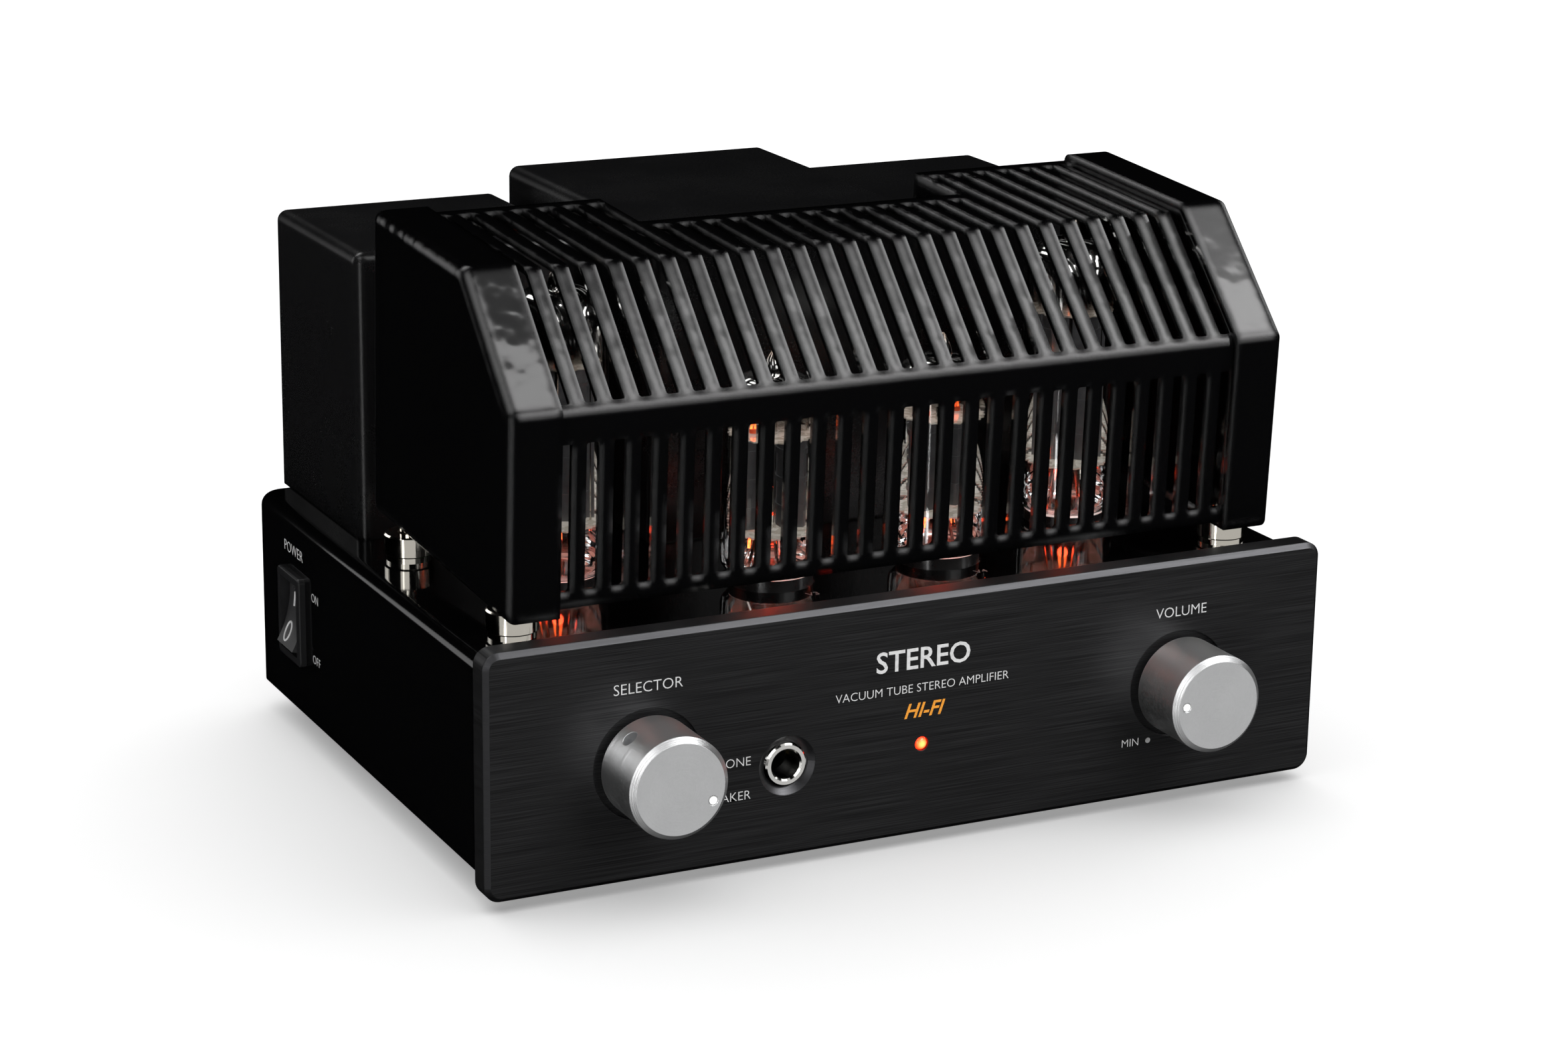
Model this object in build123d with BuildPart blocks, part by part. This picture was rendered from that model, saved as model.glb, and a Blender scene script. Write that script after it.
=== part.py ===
from build123d import *
import math
import os

os.makedirs("parts", exist_ok=True)

# Valve amplifier. X to the right, Y to the rear, Z up, origin on the floor
# under the middle of the whole object. The knobs are on the -Y side.

# front panel
panel_width = 200.0
panel_height = 53.6
panel_thick = 6.0
panel_corner = 3.5
panel_edge = 1.1
panel_lift = 2.4

# folded steel chassis
sheet = 1.2
side_inset = 0.7
base_step = 5.0
deck_step = 50.5
chassis_depth = 140.0
fold_radius = 3.0
rear_corner = 5.5
bottom_gap = 0.4
flange_width = 11.0
rear_plate_thick = 1.5
rear_plate_width = 182.0
rear_plate_height = 40.0

# knobs, shafts and their controls
knob_diameter = 22.0
knob_length = 15.6
knob_gap = 0.8
knob_edge = 1.15
knob_offset = 64.0
knob_height = 25.4
knob_skirt_bore = 16.0
knob_skirt_depth = 3.2
knob_bore_depth = 12.5
recess_radius = 12.2
recess_depth = 0.8
dot_radius = 1.15
dot_circle = 8.0
selector_dot_angle = -25.0
volume_dot_angle = 176.0
shaft_diameter = 6.0
shaft_clearance = 0.05
control_bushing = 9.4
bushing_clearance = 0.3
nut_flats = 12.0
nut_thick = 2.2
grub_hole = 3.6
grub_screw = 3.4
grub_from_back = 5.2

# headphone socket and power lamp
jack_x = -32.0
jack_height = 20.4
jack_hole = 6.5
jack_barrel = 9.5
jack_countersink = 13.2
lamp_height = 20.6
lamp_diameter = 3.0
lamp_clearance = 0.1

# power switch on the left side, set back from the panel's face
switch_setback = 119.0
switch_height = 27.3
bezel_length = 21.0
bezel_width = 15.0
bezel_proud = 1.6
switch_body_depth = 13.0
rocker_length = 16.6
rocker_width = 10.4
rocker_gap = 0.3
rocker_throw = 12.0

# tube cage
cage_half_width = 91.7
cage_setback = 8.9
cage_front_height = 44.0
cage_height = 68.2
cage_slant = 26.4
cage_depth = 78.0
cage_tilt = 2.8
cheek_width = 12.0
cage_sheet = 1.5
cage_fold = 2.2
cheek_edge = 2.3
slot_pitch = 6.03
slot_width = 2.9
slot_count = 27
slot_corner = 0.6
front_slot_low = 4.9
front_slot_high = 36.6
slot_rear_margin = 3.6
notch_half_width = 39.2
notch_depth = 55.2
lip_height = 6.0

# posts that carry the cage
post_diameter = 11.0
post_body = 4.8
post_ring = 1.2
post_ring_diameter = 10.2
post_x = 86.0
post_front_setback = 19.5
post_rear_setback = 79.2
pin_diameter = 4.0
pin_reach = 4.8
pin_hole_clearance = 0.6
stud_diameter = 4.0

# transformer covers
cover_edge = 2.5
cover_wall = 1.2
output_cover_inner = 37.3
output_cover_outer = 91.6
output_cover_front = 95.0
output_cover_rear = 149.6
output_cover_height = 65.2
power_cover_half = 33.6
power_cover_front = 66.5
power_cover_rear = 151.0
power_cover_height = 71.0

# tubes and sockets
tube_diameter = 22.0
glass_wall = 0.8
power_tube_height = 68.0
small_tube_height = 49.2
socket_diameter = 18.4
socket_rise = 2.5
socket_depth = 9.0
socket_clearance = 0.3
power_tube_x = 63.0
power_tube_front = 50.0
small_tube_x = 20.5
small_tube_front = 32.5

# rear connectors
post_reach = 17.5
speaker_pitch = 14.0
speaker_start = 9.0
speaker_height = 30.0
speaker_cap_diameter = 10.0
speaker_cap_gap = 0.05
banana_bore = 4.0
banana_depth = 13.0
phono_x = 70.0
phono_pitch_x = 18.0
phono_pitch_z = 16.0
phono_shell = 8.4
phono_reach = 9.0
inlet_x = -65.0
inlet_width = 31.0
inlet_height = 34.0
inlet_reach = 3.0
socket_open_width = 24.4
socket_open_height = 16.6
socket_open_depth = 17.0
drawer_width = 24.0
drawer_height = 7.6
drawer_depth = 20.0
drawer_gap = 0.3

# feet, board and fasteners
foot_diameter = 17.0
foot_inset = 21.0
board_length = 150.0
board_width = 82.0
board_thick = 1.6
board_height = 17.0
screw_diameter = 3.0
screw_head = 5.6

# derived positions
knob_reach = knob_length + knob_gap
rear_reach = panel_thick + chassis_depth + rear_plate_thick + post_reach
front_face = (knob_reach - rear_reach) / 2
panel_back = front_face + panel_thick
chassis_rear = panel_back + chassis_depth
rear_face = chassis_rear + rear_plate_thick
panel_middle = panel_lift + panel_height / 2
chassis_base = panel_lift + base_step
deck_top = panel_lift + deck_step
chassis_width = panel_width - 2 * side_inset
chassis_side = chassis_width / 2
knob_z = panel_lift + knob_height
jack_z = panel_lift + jack_height
lamp_z = panel_lift + lamp_height
switch_z = panel_lift + switch_height
switch_y = front_face + switch_setback
speaker_z = panel_lift + speaker_height
socket_top = deck_top + socket_rise
post_top = deck_top + post_ring + post_body
speaker_xs = []
for side in (-1, 1):
    for step in range(3):
        speaker_xs.append(side * (speaker_start + step * speaker_pitch))
speaker_xs.sort()


def facing_front(y, x=0.0, z=0.0):
    """Plane seen from the front: sketch x is +X, sketch y is +Z."""
    return Plane(origin=(x, y, z), x_dir=(1, 0, 0), z_dir=(0, -1, 0))


def facing_side(x, y=0.0, z=0.0):
    """Plane across the object: sketch x is +Y, sketch y is +Z."""
    return Plane(origin=(x, y, z), x_dir=(0, 1, 0), z_dir=(1, 0, 0))


# the cage has its own tilted frame: u runs rearward, v runs up
tilt = math.radians(cage_tilt)
cage_y = front_face + cage_setback
post_front_edge = post_front_setback - cage_setback - post_diameter / 2
cage_z = post_top - post_front_edge * math.tan(tilt)


def cage_direction(u, v):
    """Direction in the object's frame of a direction in the cage's frame."""
    along = u * math.cos(tilt) - v * math.sin(tilt)
    up = u * math.sin(tilt) + v * math.cos(tilt)
    return (0, along, up)


def cage_place(x, u, v):
    """Point in the object's frame of a point in the cage's frame."""
    step = cage_direction(u, v)
    return (x, cage_y + step[1], cage_z + step[2])


def cage_section(x):
    """Plane for the cage's side profile at one x."""
    return Plane(origin=cage_place(x, 0, 0), x_dir=cage_direction(1, 0), z_dir=(1, 0, 0))


def cage_outline(inset):
    """Corner points of the cage's side profile, moved inward by inset."""
    slope = math.atan2(cage_height - cage_front_height, cage_slant)
    front_turn = inset * math.tan((math.pi / 2 - slope) / 2)
    top_turn = inset * math.tan(slope / 2)
    return [
        (inset, inset),
        (inset, cage_front_height - front_turn),
        (cage_slant + top_turn, cage_height - inset),
        (cage_depth - inset, cage_height - inset),
        (cage_depth - inset, inset),
    ]


# chassis: one folded sheet, open below
with BuildPart() as chassis_shell:
    with BuildSketch(Plane.XY.offset(chassis_base)):
        with Locations((0, (panel_back + chassis_rear) / 2)):
            Rectangle(chassis_width, chassis_depth)
    extrude(amount=deck_top - chassis_base)
    fillet(chassis_shell.edges().filter_by(Axis.Z).group_by(Axis.Y)[-1], rear_corner)
    deck_edges = chassis_shell.faces().sort_by(Axis.Z)[-1].edges()
    fillet(deck_edges.filter_by(lambda e: e.center().Y > panel_back + 1), fold_radius)
    offset(amount=-sheet, openings=chassis_shell.faces().sort_by(Axis.Z)[0])
    # inward flanges that the bottom plate is screwed to
    with BuildSketch(Plane.XY.offset(chassis_base + sheet + 0.1)):
        for side in (-1, 1):
            with Locations((side * (chassis_side - sheet - flange_width / 2 + 0.2), panel_back + 65.0)):
                Rectangle(flange_width, 124.0)
    extrude(amount=sheet)
    # tube socket holes through the deck
    with BuildSketch(Plane.XY.offset(deck_top)):
        for side in (-1, 1):
            tube_spots = [
                (side * power_tube_x, front_face + power_tube_front),
                (side * small_tube_x, front_face + small_tube_front),
            ]
            with Locations(*tube_spots):
                Circle(socket_diameter / 2 + socket_clearance)
            # cage post studs
            post_spots = [
                (side * post_x, front_face + post_front_setback),
                (side * post_x, front_face + post_rear_setback),
            ]
            with Locations(*post_spots):
                Circle(stud_diameter / 2 + 0.1)
            # wiring holes under the output transformers
            with Locations((side * 64.0, front_face + 120.0)):
                Circle(6.0)
        with Locations((0, front_face + 110.0)):
            Circle(7.5)
    extrude(amount=-sheet * 2, mode=Mode.SUBTRACT)
    # control, headphone and lamp holes in the front wall
    with BuildSketch(facing_front(panel_back)):
        with Locations((-knob_offset, knob_z), (knob_offset, knob_z), (jack_x, jack_z)):
            Circle(control_bushing / 2 + bushing_clearance)
        with Locations((0, lamp_z)):
            Circle(lamp_diameter / 2 + 1.0)
    extrude(amount=-sheet * 2, mode=Mode.SUBTRACT)
    # power switch opening in the left side
    with BuildSketch(facing_side(-chassis_side)):
        with Locations((switch_y, switch_z)):
            Rectangle(bezel_width - 2.0, bezel_length - 2.0)
    extrude(amount=sheet * 2, mode=Mode.SUBTRACT)
    # window behind the rear plate
    with BuildSketch(facing_front(chassis_rear)):
        with Locations((0, (chassis_base + deck_top) / 2)):
            RectangleRounded(rear_plate_width - 14.0, rear_plate_height - 5.0, 3.0)
    extrude(amount=sheet * 2, mode=Mode.SUBTRACT)
chassis_shell.part.label = "chassis_shell"
export_step(chassis_shell.part, "parts/chassis_shell.step")

# bottom plate with vent slots, screwed up into the flanges
plate_width = chassis_width - 2 * sheet - 2 * bottom_gap
plate_depth = chassis_depth - 2 * sheet - 2 * bottom_gap
with BuildPart() as bottom_plate:
    with BuildSketch(Plane.XY.offset(chassis_base)):
        with Locations((0, (panel_back + chassis_rear) / 2)):
            RectangleRounded(plate_width, plate_depth, 4.5)
            with GridLocations(9.0, 52.0, 11, 2):
                SlotOverall(34.0, 3.4, rotation=90, mode=Mode.SUBTRACT)
    extrude(amount=sheet)
bottom_plate.part.label = "bottom_plate"
export_step(bottom_plate.part, "parts/bottom_plate.step")

# front panel: thick plate with a bevelled front edge
with BuildPart() as front_panel:
    with BuildSketch(facing_front(front_face)):
        with Locations((0, panel_middle)):
            RectangleRounded(panel_width, panel_height, panel_corner)
    extrude(amount=-panel_thick)
    chamfer(front_panel.faces().sort_by(Axis.Y)[0].edges(), panel_edge)
    with BuildSketch(facing_front(front_face)):
        with Locations((-knob_offset, knob_z), (knob_offset, knob_z)):
            Circle(recess_radius)
    extrude(amount=-recess_depth, mode=Mode.SUBTRACT)
    with BuildSketch(facing_front(front_face)):
        with Locations((-knob_offset, knob_z), (knob_offset, knob_z)):
            Circle(control_bushing / 2 + bushing_clearance)
        with Locations((jack_x, jack_z)):
            Circle(jack_barrel / 2 + 0.1)
        with Locations((0, lamp_z)):
            Circle(lamp_diameter / 2 + lamp_clearance)
    extrude(amount=-panel_thick, mode=Mode.SUBTRACT)
    # polished countersink round the headphone socket
    sink = (jack_countersink - jack_barrel) / 2 - 0.1
    with BuildSketch(facing_front(front_face, jack_x, jack_z)):
        Circle(jack_countersink / 2)
    with BuildSketch(facing_front(front_face + sink * 0.8, jack_x, jack_z)):
        Circle(jack_barrel / 2 + 0.1)
    loft(mode=Mode.SUBTRACT)
front_panel.part.label = "front_panel"
export_step(front_panel.part, "parts/front_panel.step")

# rear plate with all the connector holes
with BuildPart() as rear_plate:
    with BuildSketch(facing_front(rear_face)):
        with Locations((0, (chassis_base + deck_top) / 2)):
            RectangleRounded(rear_plate_width, rear_plate_height, 2.0)
        with Locations(*[(x, speaker_z) for x in speaker_xs]):
            Circle(4.2, mode=Mode.SUBTRACT)
        with Locations((phono_x, speaker_z)):
            with GridLocations(phono_pitch_x, phono_pitch_z, 2, 2):
                Circle(4.8, mode=Mode.SUBTRACT)
        with Locations((inlet_x, (chassis_base + deck_top) / 2)):
            Rectangle(inlet_width - 3.0, inlet_height - 3.0, mode=Mode.SUBTRACT)
    extrude(amount=rear_plate_thick)
rear_plate.part.label = "rear_plate"
export_step(rear_plate.part, "parts/rear_plate.step")


def cover_box(low_x, high_x, front, rear, height):
    """Folded cover with rounded edges, open at the deck."""
    with BuildPart() as cover:
        with BuildSketch(Plane.XY.offset(deck_top)):
            with Locations(((low_x + high_x) / 2, front_face + (front + rear) / 2)):
                Rectangle(high_x - low_x, rear - front)
        extrude(amount=height)
        fillet(cover.edges().filter_by(Axis.Z), cover_edge)
        fillet(cover.faces().sort_by(Axis.Z)[-1].edges(), cover_edge)
        offset(amount=-cover_wall, openings=cover.faces().sort_by(Axis.Z)[0])
    return cover.part


left_output_cover = cover_box(
    -output_cover_outer, -output_cover_inner, output_cover_front, output_cover_rear, output_cover_height
)
left_output_cover.label = "left_output_cover"
export_step(left_output_cover, "parts/left_output_cover.step")

right_output_cover = cover_box(
    output_cover_inner, output_cover_outer, output_cover_front, output_cover_rear, output_cover_height
)
right_output_cover.label = "right_output_cover"
export_step(right_output_cover, "parts/right_output_cover.step")

power_cover = cover_box(
    -power_cover_half, power_cover_half, power_cover_front, power_cover_rear, power_cover_height
)
power_cover.label = "power_transformer_cover"
export_step(power_cover, "parts/power_transformer_cover.step")

# laminated cores and their windings stand on the deck inside the covers
core_spots = [(-64.0, 120.0, 44.0, 36.0), (64.0, 120.0, 44.0, 36.0), (0.0, 108.0, 54.0, 56.0)]
with BuildPart() as transformer_cores:
    for core_x, core_setback, core_width, core_height in core_spots:
        with BuildSketch(facing_front(front_face + core_setback + 11.0, core_x, deck_top)):
            with Locations((0, core_height / 2)):
                Rectangle(core_width, core_height)
            with Locations((-core_width * 0.26, core_height / 2), (core_width * 0.26, core_height / 2)):
                Rectangle(core_width * 0.2, core_height * 0.56, mode=Mode.SUBTRACT)
        extrude(amount=22.0)
transformer_cores.part.label = "transformer_cores"
export_step(transformer_cores.part, "parts/transformer_cores.step")

with BuildPart() as transformer_coils:
    for core_x, core_setback, core_width, core_height in core_spots:
        coil_low = deck_top + core_height * 0.24
        with BuildSketch(Plane.XY.offset(coil_low)):
            with Locations((core_x, front_face + core_setback)):
                RectangleRounded(core_width * 0.68, 34.0, 3.0)
                Rectangle(core_width * 0.32 + 0.1, 22.1, mode=Mode.SUBTRACT)
        extrude(amount=core_height * 0.52)
transformer_coils.part.label = "transformer_coils"
export_step(transformer_coils.part, "parts/transformer_coils.step")


def cheek(side):
    """End cheek of the cage: side wall with a flange right round it."""
    outer_x = side * cage_half_width
    inner_x = side * (cage_half_width - cheek_width)
    low_x = min(outer_x, inner_x)
    with BuildPart() as piece:
        with BuildSketch(cage_section(low_x)):
            with BuildLine():
                Polyline(*cage_outline(0.0), close=True)
            make_face()
        extrude(amount=cheek_width)
        folds = piece.edges().filter_by(Axis.X).sort_by(Axis.Z)[-3:]
        fillet(folds, cage_fold)
        end_faces = piece.faces().filter_by(Axis.X).sort_by(Axis.X)
        outer_face = end_faces[0] if side < 0 else end_faces[-1]
        fillet(outer_face.edges(), cheek_edge)
        with BuildSketch(cage_section(low_x if side > 0 else low_x + cage_sheet)):
            with BuildLine():
                Polyline(*cage_outline(cage_sheet), close=True)
            make_face()
        extrude(amount=cheek_width - cage_sheet, mode=Mode.SUBTRACT)
        # holes in the lower flange for the locating pins
        for setback in (post_front_setback, post_rear_setback):
            u = (setback - cage_setback) / math.cos(tilt)
            pin_plane = Plane(
                origin=cage_place(side * post_x, u, -1.0),
                x_dir=(1, 0, 0),
                z_dir=cage_direction(0, 1),
            )
            with BuildSketch(pin_plane):
                Circle(pin_diameter / 2)
            extrude(amount=cage_sheet + 2.0, mode=Mode.SUBTRACT)
    return piece.part


cage_left_cheek = cheek(-1)
cage_left_cheek.label = "cage_left_cheek"
export_step(cage_left_cheek, "parts/cage_left_cheek.step")

cage_right_cheek = cheek(1)
cage_right_cheek.label = "cage_right_cheek"
export_step(cage_right_cheek, "parts/cage_right_cheek.step")

# slotted grille sheet tucked under the cheeks' flanges
grille_half = cage_half_width - cheek_width + 8.0
slant_slope = math.atan2(cage_height - cage_front_height, cage_slant)
slant_run = math.hypot(cage_slant, cage_height - cage_front_height)
with BuildPart() as cage_grille:
    with BuildSketch(cage_section(-grille_half)):
        with BuildLine():
            Polyline(*cage_outline(cage_sheet), close=True)
        make_face()
        offset(amount=-cage_sheet, kind=Kind.INTERSECTION, mode=Mode.SUBTRACT)
        with Locations((cage_depth / 2, 0)):
            Rectangle(cage_depth - 4 * cage_sheet, 8.0, mode=Mode.SUBTRACT)
        with Locations((cage_depth, (cage_height - cage_sheet - lip_height) / 2)):
            Rectangle(8.0, cage_height - cage_sheet - lip_height, mode=Mode.SUBTRACT)
    extrude(amount=2 * grille_half)
    outer_folds = cage_grille.edges().filter_by(Axis.X)
    front_fold = outer_folds.sort_by_distance(cage_place(0, cage_sheet, cage_front_height))[0]
    fillet(front_fold, cage_fold)
    outer_folds = cage_grille.edges().filter_by(Axis.X)
    top_fold = outer_folds.sort_by_distance(cage_place(0, cage_slant, cage_height - cage_sheet))[0]
    fillet(top_fold, cage_fold)
    # notch that clears the power transformer cover
    with BuildSketch(cage_section(-notch_half_width)):
        with Locations((cage_depth - (cage_depth - notch_depth) / 2 + 1.0, cage_height - 5.0)):
            Rectangle(cage_depth - notch_depth + 2.0, 20.0)
    extrude(amount=2 * notch_half_width, mode=Mode.SUBTRACT)
    # turned-down lip along the sides and front of the notch
    for side in (-1, 1):
        low_x = side * (notch_half_width + cage_sheet / 2) - cage_sheet / 2
        with BuildSketch(cage_section(low_x)):
            lip_run = cage_depth - cage_sheet - notch_depth
            with Locations((notch_depth + lip_run / 2, cage_height - cage_sheet - lip_height / 2)):
                Rectangle(lip_run, lip_height)
        extrude(amount=cage_sheet)
    with BuildSketch(cage_section(-notch_half_width - cage_sheet)):
        with Locations((notch_depth - cage_sheet / 2, cage_height - cage_sheet - lip_height / 2)):
            Rectangle(cage_sheet, lip_height)
    extrude(amount=2 * (notch_half_width + cage_sheet))
    # front slots
    slot_middle = (front_slot_low + front_slot_high) / 2
    front_plane = Plane(origin=cage_place(0, -1.0, slot_middle), x_dir=(1, 0, 0), z_dir=cage_direction(-1, 0))
    with BuildSketch(front_plane):
        with GridLocations(slot_pitch, 1.0, slot_count, 1):
            RectangleRounded(slot_width, front_slot_high - front_slot_low, slot_corner)
    extrude(amount=-6.0, mode=Mode.SUBTRACT)
    # slanted run of the upper slots
    slant_plane = Plane(
        origin=cage_place(0, 0, cage_front_height),
        x_dir=(1, 0, 0),
        z_dir=cage_direction(-math.sin(slant_slope), math.cos(slant_slope)),
    )
    with BuildSketch(slant_plane):
        with Locations((0, 2.6 + slant_run / 2 + 1.0)):
            with GridLocations(slot_pitch, 1.0, slot_count, 1):
                RectangleRounded(slot_width, slant_run + 2.0, slot_corner)
    extrude(amount=-6.0, mode=Mode.SUBTRACT)
    # flat run of the upper slots, shorter in front of the notch
    top_plane = Plane(
        origin=cage_place(0, 0, cage_height + 1.0),
        x_dir=(1, 0, 0),
        z_dir=cage_direction(0, 1),
    )
    with BuildSketch(top_plane):
        for index in range(slot_count):
            slot_x = (index - (slot_count - 1) / 2) * slot_pitch
            run_end = cage_depth - cage_sheet - slot_rear_margin
            if abs(slot_x) < notch_half_width:
                run_end = notch_depth - slot_rear_margin
            with Locations((slot_x, (cage_slant - 1.0 + run_end) / 2)):
                RectangleRounded(slot_width, run_end - cage_slant + 1.0, slot_corner)
    extrude(amount=-5.5, mode=Mode.SUBTRACT)
cage_grille.part.label = "cage_grille"
export_step(cage_grille.part, "parts/cage_grille.step")

# locating pins riveted into the cheeks' lower flanges
with BuildPart() as cage_pins:
    for side in (-1, 1):
        for setback in (post_front_setback, post_rear_setback):
            u = (setback - cage_setback) / math.cos(tilt)
            foot = Plane(
                origin=cage_place(side * post_x, u, -pin_reach),
                x_dir=(1, 0, 0),
                z_dir=cage_direction(0, 1),
            )
            with BuildSketch(foot):
                Circle(pin_diameter / 2)
            extrude(amount=pin_reach + cage_sheet)
            head = Plane(
                origin=cage_place(side * post_x, u, cage_sheet),
                x_dir=(1, 0, 0),
                z_dir=cage_direction(0, 1),
            )
            with BuildSketch(head):
                Circle(3.4)
            extrude(amount=1.4)
    chamfer(cage_pins.edges().filter_by(GeomType.CIRCLE).group_by(Axis.Z)[0], 0.4)
cage_pins.part.label = "cage_pins"
export_step(cage_pins.part, "parts/cage_pins.step")

# turned posts with a threaded stud through the deck
post_spots = []
for side in (-1, 1):
    for setback in (post_front_setback, post_rear_setback):
        post_spots.append((side * post_x, front_face + setback))
with BuildPart() as cage_posts:
    with BuildSketch(Plane.XY.offset(deck_top)):
        with Locations(*post_spots):
            Circle(post_ring_diameter / 2)
    extrude(amount=post_ring)
    with BuildSketch(Plane.XY.offset(deck_top + post_ring)):
        with Locations(*post_spots):
            Circle(post_diameter / 2)
    extrude(amount=post_body)
    rims = cage_posts.edges().filter_by(GeomType.CIRCLE).filter_by(lambda e: e.radius > post_diameter / 2 - 0.1)
    chamfer(rims, 0.35)
    with BuildSketch(Plane.XY.offset(post_top)):
        with Locations(*post_spots):
            Circle(pin_diameter / 2 + pin_hole_clearance)
    extrude(amount=-pin_reach - 0.4, mode=Mode.SUBTRACT)
    with BuildSketch(Plane.XY.offset(deck_top)):
        with Locations(*post_spots):
            Circle(stud_diameter / 2)
    extrude(amount=-sheet - 5.0)
cage_posts.part.label = "cage_posts"
export_step(cage_posts.part, "parts/cage_posts.step")

with BuildPart() as post_nuts:
    with BuildSketch(Plane.XY.offset(deck_top - sheet)):
        with Locations(*post_spots):
            RegularPolygon(3.5, 6, major_radius=False)
            Circle(stud_diameter / 2, mode=Mode.SUBTRACT)
    extrude(amount=-3.0)
post_nuts.part.label = "post_nuts"
export_step(post_nuts.part, "parts/post_nuts.step")

# tube positions as plan points
power_tube_spots = []
small_tube_spots = []
for side in (-1, 1):
    small_tube_spots.append((side * small_tube_x, front_face + small_tube_front))
    power_tube_spots.append((side * power_tube_x, front_face + power_tube_front))
all_tube_spots = power_tube_spots + small_tube_spots


def bulb_profile(height, inset):
    """Half profile of a glass bulb drawn on the XZ plane."""
    radius = tube_diameter / 2 - inset
    low = inset
    tip = height - 4.4
    with BuildLine() as line:
        Polyline((0, low), (radius - 2.6, low))
        ThreePointArc(
            (radius - 2.6, low),
            (radius - 0.76, low + 0.76),
            (radius, low + 2.6),
        )
        Line((radius, low + 2.6), (radius, tip - 9.0))
        Spline(
            (radius, tip - 9.0),
            (radius - 3.2 + inset / 3, tip - 3.2 - inset / 2),
            (1.9 - inset, tip - inset),
            tangents=((0, 1), (-1, 0.45)),
        )
        if inset > 0:
            Line((1.9 - inset, tip - inset), (0, tip - inset))
            Line((0, tip - inset), (0, low))
        else:
            Spline((1.9, tip), (1.25, tip + 2.4), (0, height), tangents=((-0.3, 1), (-1, 0)))
            Line((0, height), (0, low))
    return line.line


def glass_bulb(height):
    """Closed thin-walled bulb with a sealed tip, standing at the origin."""
    with BuildPart() as bulb:
        with BuildSketch(Plane.XZ):
            with BuildLine():
                add(bulb_profile(height, 0.0))
            make_face()
        revolve(axis=Axis.Z)
        with BuildSketch(Plane.XZ):
            with BuildLine():
                add(bulb_profile(height, glass_wall))
            make_face()
        revolve(axis=Axis.Z, mode=Mode.SUBTRACT)
    return bulb.part


def electrode_set(plate_low, plate_high, plate_wide, plate_deep):
    """Anode, mica discs, support rods and getter ring of one tube."""
    disc = tube_diameter / 2 - glass_wall - 0.3
    with BuildPart() as inside:
        with BuildSketch(Plane.XY.offset(plate_low)):
            RectangleRounded(plate_wide, plate_deep, plate_deep * 0.35)
            Rectangle(plate_wide + 3.0, 0.8)
        extrude(amount=plate_high - plate_low)
        for level in (plate_low - 0.4, plate_high):
            with BuildSketch(Plane.XY.offset(level)):
                Circle(disc)
            extrude(amount=0.4)
        with BuildSketch(Plane.XY.offset(glass_wall)):
            with PolarLocations(4.6, 6):
                Circle(0.35)
        extrude(amount=plate_low - glass_wall)
        with BuildSketch(Plane.XY.offset(plate_high)):
            with Locations((plate_wide * 0.3, 0)):
                Circle(0.35)
        extrude(amount=5.4)
        with BuildSketch(Plane.XY.offset(plate_high + 5.0)):
            Circle(plate_wide * 0.3 + 0.35)
            Circle(plate_wide * 0.3 - 0.35, mode=Mode.SUBTRACT)
        extrude(amount=0.7)
    return inside.part


with BuildPart() as power_tube_glass:
    with Locations(*[(x, y, socket_top) for x, y in power_tube_spots]):
        add(glass_bulb(power_tube_height))
power_tube_glass.part.label = "power_tube_glass"
export_step(power_tube_glass.part, "parts/power_tube_glass.step")

with BuildPart() as power_tube_electrodes:
    with Locations(*[(x, y, socket_top) for x, y in power_tube_spots]):
        add(electrode_set(9.0, 49.0, 13.0, 8.0))
power_tube_electrodes.part.label = "power_tube_electrodes"
export_step(power_tube_electrodes.part, "parts/power_tube_electrodes.step")

with BuildPart() as small_tube_glass:
    with Locations(*[(x, y, socket_top) for x, y in small_tube_spots]):
        add(glass_bulb(small_tube_height))
small_tube_glass.part.label = "small_tube_glass"
export_step(small_tube_glass.part, "parts/small_tube_glass.step")

with BuildPart() as small_tube_electrodes:
    with Locations(*[(x, y, socket_top) for x, y in small_tube_spots]):
        add(electrode_set(8.0, 30.0, 14.5, 6.0))
small_tube_electrodes.part.label = "small_tube_electrodes"
export_step(small_tube_electrodes.part, "parts/small_tube_electrodes.step")

# nine thin pins under each bulb, seated in the socket
with BuildPart() as tube_pins:
    for tube_x, tube_y in all_tube_spots:
        with BuildSketch(Plane.XY.offset(socket_top)):
            with Locations((tube_x, tube_y)):
                with PolarLocations(5.95, 9, start_angle=18, angular_range=324):
                    Circle(0.5)
        extrude(amount=-6.0)
tube_pins.part.label = "tube_pins"
export_step(tube_pins.part, "parts/tube_pins.step")

# ceramic sockets with a pin circle
with BuildPart() as tube_sockets:
    with BuildSketch(Plane.XY.offset(deck_top - socket_depth)):
        with Locations(*all_tube_spots):
            Circle(socket_diameter / 2)
    extrude(amount=socket_depth + socket_rise)
    chamfer(tube_sockets.faces().sort_by(Axis.Z)[-1].edges(), 0.3)
    for tube_x, tube_y in all_tube_spots:
        with BuildSketch(Plane.XY.offset(socket_top)):
            with Locations((tube_x, tube_y)):
                with PolarLocations(5.95, 9, start_angle=18, angular_range=324):
                    Circle(0.5)
        extrude(amount=-6.0, mode=Mode.SUBTRACT)
tube_sockets.part.label = "tube_sockets"
export_step(tube_sockets.part, "parts/tube_sockets.step")

# saddles that clamp the sockets under the deck
with BuildPart() as socket_saddles:
    with BuildSketch(Plane.XY.offset(deck_top - sheet)):
        with Locations(*all_tube_spots):
            Circle(socket_diameter / 2 + 2.6)
            Circle(socket_diameter / 2, mode=Mode.SUBTRACT)
    extrude(amount=-1.0)
socket_saddles.part.label = "socket_saddles"
export_step(socket_saddles.part, "parts/socket_saddles.step")


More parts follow.
